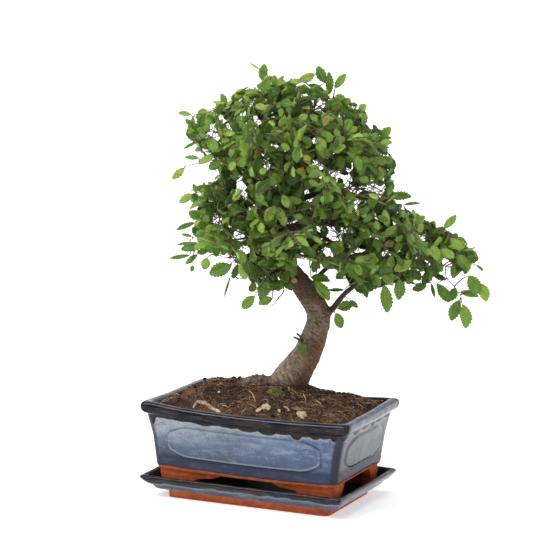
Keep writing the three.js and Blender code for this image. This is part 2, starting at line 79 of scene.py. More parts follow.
# Along the trunk and along each root: x, y, z and radius
TRUNK = [
    (10, 23, 72, 15), (13, 24, 90, 18.5), (17, 24, 100, 17.6), (26, 23.5, 115.4, 14.6),
    (33.6, 23, 128.6, 12.9), (39.6, 22, 144.8, 11.3), (43.3, 21, 160.8, 10.8), (40.2, 20, 172.6, 10.5),
    (32, 19, 184.6, 10.2), (24, 18, 196.3, 9.6), (13, 17, 207.4, 9.2), (3.7, 16.5, 218.5, 8.8),
    (-1.9, 16, 233.2, 8.2), (-2, 15.5, 249.8, 7.4), (4, 15, 267.2, 6.6), (14, 14, 283.9, 5.8),
    (21.8, 13, 302.2, 4.9), (27, 12, 320.5, 3.9), (28.6, 12, 338.6, 2.9), (27, 12, 354, 1.9),
]

ROOTS = [
    [(8, 22, 97, 8), (-7, 21, 100.0, 6.4), (-19, 20.5, 99.8, 6.0), (-30, 19, 94.5, 4.6), (-46, 15, 85, 2.6)],
    [(20, 22, 92, 9), (36, 18, 85, 6), (54, 8, 76, 4), (68, -4, 66, 2.4)],
    [(12, 18, 90, 9), (2, 0, 84, 6), (-6, -22, 74, 4), (-8, -38, 62, 2.4)],
    [(10, 24, 80, 11), (-16, 24, 70, 7), (-40, 22, 60, 4.5), (-58, 20, 52, 2.6)],
]

# Route, radius where it leaves the trunk, number of shoots, how much those rise
BRANCHES = [
    ([(48, 21, 159), (71, 18, 188), (104, 12, 203), (130, 4, 196)], 2.9, 3, 0),
    ([(-1, 16, 240), (36, 8, 250), (74, 2, 249), (106, -4, 238), (128, -8, 226)], 4.2, 4, 0.1),
    ([(2, 16, 262), (36, 32, 272), (66, 44, 272), (82, 48, 267)], 3.6, 3, 0.2),
    ([(4, 16, 218), (-12, 4, 222), (-22, -4, 222), (-30, -10, 221)], 3, 3, 0.2),
    ([(-1, 15, 248), (-18, 8, 256), (-30, 2, 260), (-38, -2, 261)], 3.2, 3, 0.2),
    ([(4, 15, 268), (-12, 14, 284), (-24, 10, 298), (-32, 6, 306)], 3, 3, 0.1),
    ([(0, 16, 238), (6, -8, 250), (10, -26, 254), (12, -36, 252)], 2.8, 2, 0.2),
    ([(14, 14, 284), (34, -8, 290), (50, -22, 290), (60, -30, 286)], 2.8, 3, 0.2),
    ([(4, 15, 266), (-2, 36, 276), (-6, 52, 280), (-8, 60, 280)], 2.8, 2, 0.3),
    ([(22, 13, 302), (38, 12, 311), (50, 12, 315), (58, 12, 314)], 2.8, 3, 0.25),
    ([(27, 12, 320), (38, 28, 328), (46, 40, 330)], 2.4, 2, 0.3),
    ([(28, 12, 328), (20, 8, 338), (11, 4, 345)], 2.2, 2, 0.3),
    ([(22, 13, 300), (10, -10, 310), (0, -24, 314)], 2.4, 2, 0.3),
    ([(-2, 16, 252), (-20, 32, 262), (-32, 42, 266)], 2.6, 2, 0.2),
    ([(34, 20, 186), (48, 38, 202), (68, 50, 212), (84, 56, 216)], 2.8, 2, 0.1),
    ([(12, 17, 208), (2, 0, 206), (-4, -12, 202)], 2, 1, 0),
    ([(27, 12, 340), (29, 9, 346), (32, 6, 350)], 1.8, 2, 0.1),
    ([(-2, 16, 233), (-16, -8, 240), (-28, -24, 240)], 2.4, 2, 0.1),
    ([(38, 8, 243), (56, -14, 234), (68, -30, 222)], 2.2, 2, -0.3),
    ([(10, 14, 212), (20, -4, 222), (34, -16, 224)], 2, 2, 0),
]
BRANCH_TIP_RADIUS = 1.2
SHOOT_REACH = 0.72
SHOOT_LENGTH = 52.0
SHOOT_SAG = 0.1
CROWN_AXIS = np.array([25.0, 14.0, 0.0])


# Meshes

class Shape:
    """Points in millimetres, their faces, numbers that each point carries, and a material for each face."""

    def __init__(self):
        self.blocks = []
        self.faces = []
        self.slots = []
        self.count = 0

    def add(self, points, faces, slot=0, **values):
        points = np.asarray(points, float).reshape(-1, 3)
        self.faces.extend([tuple(self.count + corner for corner in face) for face in faces])
        self.slots.extend([slot] * len(faces))
        self.blocks.append((points, values))
        self.count += len(points)

    def points(self):
        return np.concatenate([points for points, _ in self.blocks])

    def numbers(self, kind):
        return np.concatenate([np.broadcast_to(np.ravel(values.get(kind, 0.0)).astype(float), len(points))
                               for points, values in self.blocks])


def add_object(name, data):
    made = bpy.data.objects.new(name, data)
    bpy.context.scene.collection.objects.link(made)
    return made


def set_numbers(mesh, numbers):
    """Gives every point of the mesh its number of each kind."""
    for kind, values in numbers.items():
        layer = mesh.attributes.new(kind, "FLOAT", "POINT")
        layer.data.foreach_set("value", values.astype(np.float32))


def build(name, shape, materials):
    """One smooth mesh object from a shape, with an attribute for each kind of number."""
    mesh = bpy.data.meshes.new(name)
    mesh.from_pydata(shape.points() * MM, [], shape.faces)
    kinds = sorted({kind for _, values in shape.blocks for kind in values})
    set_numbers(mesh, {kind: shape.numbers(kind) for kind in kinds})
    for material in materials:
        mesh.materials.append(material)
    mesh.polygons.foreach_set("material_index", np.array(shape.slots, np.int32))
    mesh.polygons.foreach_set("use_smooth", np.ones(len(shape.faces), bool))
    mesh.update()
    return add_object(name, mesh)


def settle(piece, slot, *nodes):
    """The piece rides on the one body and stands for the CAD nodes that are named."""
    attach(piece, "root")
    if nodes:
        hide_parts(*nodes)


def drawn(made):
    """Points and faces of a bmesh, which is then let go."""
    points = np.array([tuple(vertex.co) for vertex in made.verts])
    faces = [tuple(vertex.index for vertex in face.verts) for face in made.faces]
    made.free()
    return points, faces


def ring_faces(rings, count):
    """Quads between neighbouring rings that hold the same number of points, as a closed band."""
    faces = []
    for low in range(0, (rings - 1) * count, count):
        for side in range(count):
            after = (side + 1) % count
            faces.append((low + side, low + after, low + count + after, low + count + side))
    return faces


def unit(vector):
    return vector / np.linalg.norm(vector)


def squared_off(facing, way):
    """The part of facing that is square to way, at length one."""
    return unit(facing - way * (facing @ way))


def smoothstep(low, high, value):
    t = np.clip((value - low) / (high - low), 0, 1)
    return t * t * (3 - 2 * t)


def peak(value, at, width):
    """From 1 at a value down to 0 far from it."""
    return np.exp(-((value - at) / width) ** 2)


def hill(x, y, at_x, at_y, wide_x, wide_y):
    """From 1 at a place down to 0 far from it."""
    return np.exp(-((x - at_x) / wide_x) ** 2 - ((y - at_y) / wide_y) ** 2)


def lumps(points, size, octaves=3, seed=0.0):
    """Fractal noise from about -1 to 1 at each point, with lumps of the given size."""
    shift = Vector((seed * 17.3, seed * 5.1, seed * 9.7))
    places = [Vector(point) / size + shift for point in points.reshape(-1, 3)]
    return np.reshape([noise.fractal(place, 1.0, 2.0, octaves) for place in places], points.shape[:-1])


def spline(keys, steps):
    """A smooth line through the keys, with this many steps between two of them."""
    keys = np.asarray(keys, float)
    padded = np.concatenate([[2 * keys[0] - keys[1]], keys, [2 * keys[-1] - keys[-2]]])
    line = []
    for index in range(len(keys) - 1):
        a, b, c, d = padded[index:index + 4]
        for step in range(steps):
            t = step / steps
            line.append(0.5 * (2 * b + (c - a) * t + (2 * a - 5 * b + 4 * c - d) * t * t
                               + (3 * b - a - 3 * c + d) * t ** 3))
    line.append(keys[-1])
    return np.array(line)


# Where a tube's first point lies round its line
TUBE_SEAM = (0.31, -0.95, 0.02)


def tube(line, radii, sides, wobble=0.0, seed=0.0):
    """Points and faces of a closed round limb along a line, and how far along it each point is."""
    line, radii = np.asarray(line, float), np.asarray(radii, float)
    tangents = np.gradient(line, axis=0)
    tangents /= np.linalg.norm(tangents, axis=1)[:, None]
    normal = np.cross(tangents[0], TUBE_SEAM)
    points, along, run = [], [], 0.0
    angles = np.arange(sides) * 2 * math.pi / sides
    for index, (centre, tangent, radius) in enumerate(zip(line, tangents, radii)):
        normal = squared_off(normal, tangent)
        if index:
            run += np.linalg.norm(centre - line[index - 1])
        around = np.outer(np.cos(angles), normal) + np.outer(np.sin(angles), np.cross(tangent, normal))
        ring = radius * np.ones(sides)
        if wobble:
            ring = ring * (1 + wobble * lumps(centre + around * radius, 4.0, 2, seed))
        points.extend(centre + around * ring[:, None])
        along.extend([run] * sides)
    faces = ring_faces(len(line), sides)
    faces.append(tuple(range(sides))[::-1])
    faces.append(tuple((len(line) - 1) * sides + side for side in range(sides)))
    return np.array(points), faces, np.array(along)


def to_row(points):
    """From the tree's own frame to the row frame."""
    points = np.asarray(points, float)
    return points[..., :1] * TREE_X + points[..., 1:2] * TREE_Y + points[..., 2:] * UP


def in_tree(x, y):
    """The tree frame's x and y of a place in the row frame."""
    return x * TREE_X[0] + y * TREE_X[1], x * TREE_Y[0] + y * TREE_Y[1]


# Materials

class Graph:
    """Adds shader nodes to one new material, or to a world."""

    def __init__(self, name, kind="materials"):
        self.owner = getattr(bpy.data, kind).new(name)
        self.owner.use_nodes = True
        self.tree = self.owner.node_tree
        self.tree.nodes.clear()

    def node(self, kind, inputs=(), **settings):
        made = self.tree.nodes.new("ShaderNode" + kind)
        for name, value in settings.items():
            setattr(made, name, value)
        for name, value in dict(inputs).items():
            socket = made.inputs[name]
            if isinstance(value, bpy.types.NodeSocket):
                self.tree.links.new(value, socket)
            else:
                socket.default_value = (*value, 1.0) if socket.type == "RGBA" else value
        return made

    def number(self, name):
        return self.node("Attribute", attribute_name=name, attribute_type="GEOMETRY").outputs["Fac"]

    def place(self, scale=1.0):
        """The point on the surface in millimetres, times a scale, which may be three numbers."""
        scale = (scale,) * 3 if isinstance(scale, (int, float)) else scale
        where = self.node("TexCoord").outputs["Object"]
        sizes = tuple(part / MM for part in scale)
        return self.node("VectorMath", {0: where, 1: sizes}, operation="MULTIPLY").outputs[0]

    def maths(self, operation, first, second=0.0, third=0.0):
        return self.node("Math", {0: first, 1: second, 2: third}, operation=operation).outputs[0]

    def times(self, first, second, plus=None):
        """The product of two values, or that product plus a third value."""
        if plus is None:
            return self.maths("MULTIPLY", first, second)
        return self.maths("MULTIPLY_ADD", first, second, plus)

    def swing(self, value, pattern, amount, middle=0.5):
        """The value, moved up and down where a pattern is above and below its middle."""
        return self.times(self.maths("SUBTRACT", pattern, middle), amount, value)

    def larger(self, first, second):
        return self.maths("MAXIMUM", first, second)

    def between(self, value, low, high, start=0.0, end=1.0):
        """From start to end as the value goes from low to high."""
        inputs = {"Value": value, "From Min": low, "From Max": high, "To Min": start, "To Max": end}
        return self.node("MapRange", inputs, interpolation_type="SMOOTHSTEP").outputs[0]

    def mix(self, share, first, second):
        return self.node("Mix", {0: share, 6: first, 7: second}, data_type="RGBA").outputs[2]

    def over(self, colour, layers):
        """The colour with other colours laid over it in turn, each by its own share."""
        for share, layer in layers:
            colour = self.mix(share, colour, layer)
        return colour

    def ramp(self, value, stops):
        made = self.node("ValToRGB", {0: value})
        marks = made.color_ramp.elements
        while len(marks) < len(stops):
            marks.new(0.5)
        for mark, (position, colour) in zip(marks, stops):
            mark.position = position
            mark.color = (*colour, 1.0)
        return made.outputs[0]

    def spread(self, where):
        """A scale on the surface as a place, and a place as it is."""
        return where if isinstance(where, bpy.types.NodeSocket) else self.place(where)

    def noise(self, where, detail=3.0, roughness=0.5, distortion=0.0):
        inputs = {"Vector": self.spread(where), "Scale": 1.0, "Detail": detail, "Roughness": roughness,
                  "Distortion": distortion}
        return self.node("TexNoise", inputs).outputs["Fac"]

    def cells(self, where):
        return self.node("TexVoronoi", {"Vector": self.spread(where), "Scale": 1.0}).outputs["Distance"]

    def bump(self, height, depth_mm, strength=1.0, under=None):
        inputs = {"Height": height, "Distance": depth_mm * MM, "Strength": strength}
        if under is not None:
            inputs["Normal"] = under
        return self.node("Bump", inputs).outputs[0]

    def finish(self, colour, roughness, normal=None, **more):
        inputs = {"Base Color": colour, "Roughness": roughness}
        if normal is not None:
            inputs["Normal"] = normal
        inputs.update({name.replace("_", " "): value for name, value in more.items()})
        shader = self.node("BsdfPrincipled", inputs)
        self.node("OutputMaterial", {0: shader.outputs[0]})
        return self.owner


def glaze_material():
    """Mottled blue glaze, dark on the lips and where it pools, pale where it runs thin, bare clay below, with
    painted reflection on the short sides and the lip and painted shade in the panel's groove and inside.
    """
    g = Graph("glaze")
    height, panel, low, drip, lip, corner, bare, pale, grey, inside = map(g.number, (
        "level", "panel", "panel_low", "drip", "lip", "corner", "bare", "pale", "grey", "inside"))
    across = g.node("SeparateXYZ", {0: g.place(0.01)}).outputs["X"]
    cloud = g.noise(0.035, 4.0, 0.6)
    streak = g.noise((0.20, 0.20, 0.035), 4.0, 0.6)
    brushed = g.noise((0.055, 0.055, 0.17), 6.0, 0.68)
    fine = g.noise(0.55, 4.0, 0.75)
    shade = g.times(streak, 0.30, g.times(cloud, 0.70, -0.50))
    body = g.ramp(g.maths("ADD", g.times(height, 0.72), shade), [
        (0.0, (0.013, 0.023, 0.040)), (0.22, (0.028, 0.052, 0.100)), (0.5, (0.066, 0.114, 0.205)),
        (0.78, (0.140, 0.185, 0.250)), (1.0, (0.235, 0.265, 0.280)),
    ])

    # mottling: cream to the left, deep blue to the right, brush marks and specks, and grey on the short sides
    # as a painted reflection
    cream = g.times(g.between(across, 0.4, -0.9, 0.15, 0.75), g.between(height, 0.15, 0.95))
    deep = g.times(g.between(across, 0.15, 0.90), g.between(streak, 0.38, 0.60, 0.3, 0.95))
    side_grey = g.mix(g.between(cloud, 0.32, 0.68), (0.032, 0.032, 0.037), (0.072, 0.073, 0.079))
    body = g.over(body, [
        (cream, g.mix(brushed, (0.17, 0.20, 0.24), (0.34, 0.35, 0.32))),
        (deep, (0.030, 0.058, 0.150)),
        (g.between(brushed, 0.36, 0.56, 0.55, 0.0), (0.026, 0.044, 0.092)),
        (g.between(brushed, 0.50, 0.70, 0.0, 0.40), (0.23, 0.29, 0.35)),
        (g.between(fine, 0.52, 0.66, 0.0, 0.32), (0.030, 0.045, 0.085)),
        (g.between(fine, 0.32, 0.44, 0.16, 0.0), (0.30, 0.34, 0.37)),
        (g.times(grey, 0.88), side_grey),
        (g.between(height, 0.18, 0.04, 0.0, 0.62), (0.014, 0.021, 0.036)),
        (g.between(g.cells(0.30), 0.10, 0.22, 0.75, 0.0), (0.022, 0.028, 0.05)),
    ])

    # a violet band at the foot, the groove round the panel painted dark as shade, darkest along its bottom,
    # and the worn edge of the panel
    band = g.times(g.between(height, 0.10, -0.08), g.between(brushed, 0.40, 0.60))
    past_groove = g.maths("SUBTRACT", panel, g.between(low, 0.35, 0.8, 1.2, 2.9))
    groove = g.times(g.between(panel, -0.3, 0.4), g.between(past_groove, -0.8, 0.8, 1.0, 0.0))
    groove = g.times(groove, g.times(grey, -0.5, g.between(brushed, 0.35, 0.6, 0.6, 1.0)))
    edge = g.times(g.between(panel, -2.2, -1.1), g.between(panel, -0.6, 0.0, 1.0, 0.0))
    edge = g.times(edge, g.between(low, 0.2, 0.8, 0.12, 0.55))
    edge = g.times(edge, g.times(grey, -0.7, g.between(fine, 0.35, 0.6, 0.5, 1.0)))
    body = g.over(body, [
        (g.times(band, 0.5), (0.058, 0.042, 0.098)),
        (g.times(g.between(height, -0.10, -0.15), 0.8), (0.018, 0.020, 0.035)),
        (g.times(groove, g.between(low, 0.2, 0.8, 0.62, 0.95)), (0.018, 0.024, 0.045)),
        (edge, (0.28, 0.34, 0.40)),
    ])

    # dark runs under the lip with a pale fringe, dark corners, a streaked lip, pale on top where the glaze
    # breaks thin and as a painted highlight, pale on the short sides as a painted reflection, and an inside
    # painted dark as shade
    ragged = g.swing(drip, g.noise(0.13, 1.0), 2.0)
    run = g.between(ragged, -0.35, 0.45)
    wave = g.noise((0.06, 0.06, 0.5), 4.0, 0.5, 0.8)
    pale_break_and_reflection = g.times(pale, g.between(g.noise((0.10, 0.10, 0.5)), 0.3, 0.6, 1.0, 0.55))
    body = g.over(body, [
        (g.times(g.between(ragged, -3.0, -0.2), 0.42), (0.24, 0.27, 0.27)),
        (run, g.mix(g.between(brushed, 0.42, 0.62), (0.004, 0.004, 0.007), (0.024, 0.014, 0.011))),
        (g.times(corner, 0.85), (0.020, 0.021, 0.035)),
        (g.times(lip, g.between(wave, 0.54, 0.66, 0.0, 0.45)), (0.040, 0.058, 0.115)),
        (pale_break_and_reflection, g.mix(fine, (0.13, 0.16, 0.21), (0.27, 0.30, 0.36))),
        (g.times(inside, 0.8), g.mix(cloud, (0.004, 0.004, 0.005), (0.020, 0.012, 0.009))),
    ])

    clay = g.ramp(g.noise(0.12, 5.0, 0.7), [
        (0.25, (0.20, 0.044, 0.018)), (0.5, (0.41, 0.088, 0.027)), (0.75, (0.52, 0.150, 0.052)),
    ])
    share = g.between(g.swing(bare, g.noise(0.09), 1.4), 0.42, 0.58)
    roughness = g.times(share, 0.62, g.between(fine, 0.3, 0.8, 0.12, 0.26))
    roughness = g.times(inside, 0.3, roughness)
    dark = g.larger(g.larger(run, g.larger(lip, corner)), g.between(height, 0.20, 0.06))
    shine = g.times(g.times(dark, g.maths("SUBTRACT", 1.0, pale)), -0.34, 0.5)
    normal = g.bump(g.noise(0.09, 2.0), 0.9, 0.35)
    normal = g.bump(g.noise(1.6, 4.0), 0.16, g.between(share, 0, 1, 0.08, 0.8), normal)
    return g.finish(g.mix(share, body, clay), roughness, normal, IOR=1.46, Specular_IOR_Level=shine)


def bark_material():
    """Grey-brown bark with fine dark cross lines, pale pores and orange flakes, paler on the sun side as
    painted light and darker in shaded places as painted shade.
    """
    g = Graph("bark")
    across_a, across_b, run, orange, pale, dark = map(g.number, (
        "across_a", "across_b", "along", "orange", "pale", "dark"))
    slanted = g.times(across_a, 0.45, run)
    where = g.node("CombineXYZ", {"X": across_a, "Y": across_b, "Z": slanted}).outputs[0]

    def stretched(across, along):
        return g.node("VectorMath", {0: where, 1: (across, across, along)}, operation="MULTIPLY").outputs[0]

    broad = g.noise(stretched(0.07, 0.06), 5.0, 0.65)
    lines = g.noise(stretched(0.22, 1.1), 5.0, 0.8, 0.6)
    folds = g.noise(stretched(0.13, 0.46), 3.0, 0.6, 0.9)
    flecks = g.noise(stretched(0.42, 1.15), 3.0, 0.6)
    fine = g.noise(stretched(0.9, 2.6), 4.0, 0.7)
    pores = g.cells(stretched(0.24, 0.8))
    flakes = g.noise(stretched(0.22, 0.7), 5.0, 0.8)
    colour = g.ramp(g.times(broad, 0.35, g.times(flecks, 0.65)), [
        (0.38, (0.045, 0.030, 0.019)), (0.46, (0.120, 0.085, 0.055)), (0.54, (0.230, 0.175, 0.118)),
        (0.66, (0.42, 0.34, 0.24)),
    ])
    sunlit_pale = g.mix(g.between(flecks, 0.35, 0.65), (0.27, 0.200, 0.138), (0.68, 0.54, 0.39))
    flake_and_shade = g.between(g.times(orange, 0.30, flakes), 0.68, 0.76)
    colour = g.over(colour, [
        (g.times(pale, 0.55), sunlit_pale),
        (g.between(folds, 0.40, 0.30, 0.0, 0.5), (0.56, 0.47, 0.36)),
        (g.times(flake_and_shade, 0.75), g.mix(fine, (0.11, 0.034, 0.014), (0.33, 0.125, 0.045))),
        (g.between(folds, 0.53, 0.60, 0.0, 0.7), (0.050, 0.033, 0.023)),
        (g.between(lines, 0.52, 0.60, 0.0, 0.8), (0.042, 0.028, 0.020)),
        (g.between(flecks, 0.54, 0.62, 0.0, 0.65), (0.050, 0.034, 0.024)),
        (g.between(pores, 0.10, 0.22, 0.55, 0.0), (0.44, 0.35, 0.25)),
        (g.between(fine, 0.55, 0.75, 0.0, 0.35), (0.055, 0.040, 0.030)),
        (g.times(dark, 0.85), g.mix(flecks, (0.016, 0.009, 0.006), (0.085, 0.042, 0.022))),
    ])
    height = g.times(flecks, -0.5, g.times(pores, -0.5))
    height = g.times(folds, -1.4, g.times(lines, -0.9, height))
    return g.finish(colour, g.between(fine, 0.3, 0.8, 0.66, 0.9), g.bump(height, 1.1, 0.9), IOR=1.36)


def leaf_ribs(g):
    """How far from the midrib a point of a leaf is, where along it, and how far from a vein."""
    side = g.maths("ABSOLUTE", g.number("leaf_u"))
    phase = g.times(g.number("leaf_v"), 9.0, g.times(side, -2.4))
    off_vein = g.maths("ABSOLUTE", g.maths("SUBTRACT", g.maths("FRACT", phase), 0.5))
    return side, g.between(side, 0.03, 0.12, 1.0, 0.0), off_vein


def leaf_material():
    """Elm leaf: green from dark to yellow by its tint, which holds its age, painted shade deep in the crown
    and painted light on the left; pale ribs, a painted highlight on the rim, a duller underside and a slight
    gloss.
    """
    g = Graph("elm_leaf")
    tint, under, dry = map(g.number, ("tint", "under", "dry"))
    side, rib, off_vein = leaf_ribs(g)
    blotch = g.noise(0.25)
    uneven = g.swing(g.maths("SUBTRACT", blotch, 0.5), g.noise(0.9, 4.0, 0.75), 0.55)
    colour = g.ramp(g.times(uneven, 0.32, tint), [
        (0.0, (0.006, 0.014, 0.004)), (0.25, (0.022, 0.050, 0.008)), (0.5, (0.068, 0.132, 0.014)),
        (0.7, (0.145, 0.238, 0.030)), (0.87, (0.285, 0.370, 0.070)), (0.95, (0.41, 0.41, 0.060)),
        (1.0, (0.60, 0.40, 0.022)),
    ])
    web = g.larger(rib, g.times(g.between(off_vein, 0.02, 0.13, 1.0, 0.0), 0.45))
    colour = g.mix(g.times(web, 0.38), colour, g.mix(0.5, colour, (0.36, 0.48, 0.16)))
    colour = g.mix(g.times(under, 0.45), colour, g.mix(0.6, colour, (0.24, 0.33, 0.13)))
    # the rim of each leaf is paler, as a painted highlight
    colour = g.over(colour, [
        (g.between(side, 0.86, 1.0, 0.0, 0.22), (0.30, 0.36, 0.10)),
        (dry, g.mix(blotch, (0.075, 0.030, 0.014), (0.30, 0.155, 0.062))),
    ])
    roughness = g.times(under, 0.22, g.between(blotch, 0.3, 0.7, 0.36, 0.50))
    height = g.times(web, -1.0, g.times(off_vein, 0.9))
    return g.finish(colour, roughness, g.bump(height, 0.35, 0.5), IOR=1.36, Specular_IOR_Level=0.35,
                    Subsurface_Weight=0.22, Subsurface_Scale=0.0012, Subsurface_Radius=(0.45, 1.0, 0.12))


def twig_material():
    """Thin twigs: purplish brown, greener at the youngest ends, with tiny pale dots."""
    g = Graph("twig_bark")
    grain = g.noise(0.8, 4.0, 0.7)
    colour = g.over(g.mix(grain, (0.045, 0.028, 0.022), (0.150, 0.095, 0.062)), [
        (g.between(g.number("young"), 0.45, 1.0, 0.0, 0.75), (0.165, 0.190, 0.050)),
        (g.between(g.cells(1.1), 0.10, 0.22, 0.5, 0.0), (0.30, 0.22, 0.15)),
    ])
    return g.finish(colour, 0.7, g.bump(grain, 0.3, 0.6))


def peat_material():
    """Damp peat: red-brown on the crumbs, tan on the fibres, and nearly black in the hollows and the shaded
    places, where deep paints shade.
    """
    g = Graph("peat")
    tint, deep = map(g.number, ("tint", "deep"))
    rough = g.noise(0.45, 6.0, 0.8)
    streak = g.noise((0.25, 1.0, 1.2), 5.0, 0.8, 0.8)
    patches = g.noise(0.045, 3.0, 0.6)
    mixed = g.times(rough, 0.5, g.times(streak, 0.5))
    mixed = g.swing(mixed, patches, 0.42, 0.53)
    mixed = g.swing(mixed, g.noise(1.3), 0.35)
    colour = g.ramp(g.maths("ADD", mixed, tint), [
        (0.37, (0.008, 0.005, 0.003)), (0.46, (0.045, 0.021, 0.011)), (0.55, (0.145, 0.066, 0.031)),
        (0.66, (0.30, 0.160, 0.080)), (0.88, (0.58, 0.43, 0.26)), (1.0, (0.88, 0.86, 0.80)),
    ])
    colour = g.mix(g.times(deep, 0.8), colour, (0.010, 0.006, 0.004))
    height = g.times(streak, 0.6, rough)
    return g.finish(colour, g.between(rough, 0.3, 0.7, 0.7, 0.95), g.bump(height, 1.2, 0.9), IOR=1.4)


def pale_root_material():
    """Skin of a loose root: pinkish tan with dark rings, worn to cream at the ends."""
    g = Graph("pale_root")
    along = g.number("along")
    grain = g.noise(0.5, 5.0, 0.7)
    worn = g.larger(g.between(along, 0.62, 0.95), g.between(along, 0.16, 0.02))
    colour = g.over(g.mix(g.between(grain, 0.35, 0.65), (0.13, 0.085, 0.060), (0.47, 0.345, 0.255)), [
        (g.times(worn, 0.7), (0.72, 0.60, 0.45)),
        (g.between(g.noise((0.9, 0.2, 0.2)), 0.54, 0.62, 0.0, 0.6), (0.080, 0.045, 0.030)),
    ])
    return g.finish(colour, 0.8, g.bump(grain, 0.5, 0.8))


def moss_material():
    """Moss: brown at the base of the tufts, olive to yellow green at their tips."""
    g = Graph("moss")
    speckle = g.noise(0.9, 4.0, 0.7)
    colour = g.ramp(g.times(speckle, 0.6, g.times(g.number("tint"), 0.6)), [
        (0.2, (0.035, 0.020, 0.009)), (0.45, (0.100, 0.074, 0.020)), (0.65, (0.165, 0.150, 0.026)),
        (0.85, (0.40, 0.35, 0.09)),
    ])
    return g.finish(colour, 0.9, g.bump(speckle, 0.5, 0.8), Sheen_Weight=0.3, Sheen_Roughness=0.5)


def dry_leaf_material():
    """Fallen leaf: pale yellow, browner where it is old, with brown ribs."""
    g = Graph("dry_leaf")
    _, rib, off_vein = leaf_ribs(g)
    colour = g.ramp(g.times(g.number("tint"), 0.5, g.times(g.noise(0.5, 4.0, 0.6), 0.5)), [
        (0.1, (0.13, 0.105, 0.04)), (0.4, (0.40, 0.31, 0.13)), (0.75, (0.72, 0.64, 0.40)),
    ])
    web = g.larger(rib, g.between(off_vein, 0.02, 0.13, 0.4, 0.0))
    colour = g.mix(g.times(web, 0.5), colour, (0.40, 0.28, 0.11))
    return g.finish(colour, 0.75, g.bump(web, 0.3, 0.6))


def screen_material():
    """Black plastic of the drain screens."""
    g = Graph("screen_plastic")
    grain = g.noise(1.5)
    colour = g.mix(grain, (0.010, 0.012, 0.010), (0.028, 0.030, 0.026))
    return g.finish(colour, g.between(grain, 0.3, 0.7, 0.45, 0.65), g.bump(grain, 0.1, 0.5))


def cut_wood_material():
    """End of a pruned stub: pale yellow wood."""
    g = Graph("cut_wood")
    grain = g.noise(0.9, 4.0)
    colour = g.mix(grain, (0.20, 0.13, 0.045), (0.52, 0.39, 0.14))
    return g.finish(colour, 0.8, g.bump(grain, 0.3, 0.6))


GLAZE = glaze_material()
BARK = bark_material()
LEAF = leaf_material()
TWIG = twig_material()
PEAT = peat_material()
MOSS = moss_material()
PALE_ROOT = pale_root_material()
DRY_LEAF = dry_leaf_material()
CUT_WOOD = cut_wood_material()
SCREEN = screen_material()


# Fired pieces: rings of a rounded rectangle stacked along a profile

SIDE_STEPS = (126, 78)
CORNER_STEPS = 6


def at_height(flat, z):
    """Points of a flat outline at one height, or at a height each."""
    return np.column_stack([flat, np.broadcast_to(z, len(flat))])


def outline(half_x, half_y, radius):
    """Anticlockwise points of a rounded rectangle from the front side's left end, always as many."""
    x, y = half_x - radius, half_y - radius
    long_run, short_run = [np.linspace(-1, 1, steps + 1) for steps in SIDE_STEPS]
    sides = [(x * long_run, -half_y), (half_x, y * short_run),
             (-x * long_run, half_y), (-half_x, -y * short_run)]
    centres = [(x, -y), (x, y), (-x, y), (-x, -y)]
    points = []
    for index, (side, (centre_x, centre_y)) in enumerate(zip(sides, centres)):
        points.append(np.column_stack(np.broadcast_arrays(*side)))
        turn = (np.arange(1, CORNER_STEPS) / CORNER_STEPS + index - 1) * math.pi / 2
        points.append(np.column_stack([centre_x + radius * np.cos(turn), centre_y + radius * np.sin(turn)]))
    return np.concatenate(points)


def rounded_profile(keys, bend, step):
    """The profile with its corners rounded over the length bend and its straight runs cut into steps."""
    keys = np.asarray(keys, float)
    line = [keys[0]]
    for before, key, after in zip(keys[:-2], keys[1:-1], keys[2:]):
        back, ahead = before - key, after - key
        back_run, ahead_run = np.linalg.norm(back[[0, 3]]), np.linalg.norm(ahead[[0, 3]])
        start = key + back * min(0.45, bend / back_run)
        end = key + ahead * min(0.45, bend / ahead_run)
        for t in (0, 0.33, 0.67, 1):
            line.append(start * (1 - t) ** 2 + 2 * key * t * (1 - t) + end * t * t)
    line.append(keys[-1])
    fine = [line[0]]
    for start, end in zip(line[:-1], line[1:]):
        cuts = max(1, int(np.linalg.norm((end - start)[[0, 3]]) / step))
        fine.extend(start + (end - start) * cut / cuts for cut in range(1, cuts + 1))
    return np.array(fine)


def vessel_points(profile):
    """Array of rings by points by place for a profile of half length, half depth, corner radius, height."""
    return np.array([at_height(outline(half_x, half_y, radius), z) for half_x, half_y, radius, z in profile])


def flat_faces(outlines, upward):
    """Triangles that fill a flat outline with holes, as indices into all its points in order."""
    loops = [[Vector((x, y, 0)) for x, y in loop] for loop in outlines]
    everything = np.concatenate(outlines)
    faces = []
    for a, b, c in tessellate_polygon(loops):
        ax, ay = everything[b] - everything[a]
        bx, by = everything[c] - everything[a]
        faces.append((a, b, c) if (ax * by - ay * bx > 0) == upward else (c, b, a))
    return faces


PANEL_LOW, PANEL_HIGH = 42.2, 68.8
PANEL_MIDDLE = (PANEL_LOW + PANEL_HIGH) / 2
PANEL_HALF_TALL = (PANEL_HIGH - PANEL_LOW) / 2
PANEL_HALF = (74.0, 40.6)
PANEL_CUT = (14.0, 6.4)
PANEL_PROUD = 0.95
NO_PANEL = 30.0

# Where the dark glaze of the lip runs down in front: place along X, how far, half width
FRONT_RUNS = [(-89, 7.5, 3.2), (-62, 0.4, 22), (-38, 1.8, 8), (-12, 0.8, 12), (4, 2.6, 10), (24, 3.6, 9),
              (38, 1.4, 8), (52, 5.2, 6), (62, 1.8, 8), (70, 3.0, 6), (79, 2.2, 6), (88, 4.4, 4)]


def runs_on_side(side):
    if side == 0:
        return FRONT_RUNS
    half = POT_HALF[side % 2] - 8
    runs, at = [], -half
    while at < half:
        runs.append((at, rng.uniform(1.5, 6), rng.uniform(4, 10)))
        at += rng.uniform(9, 26)
    return runs


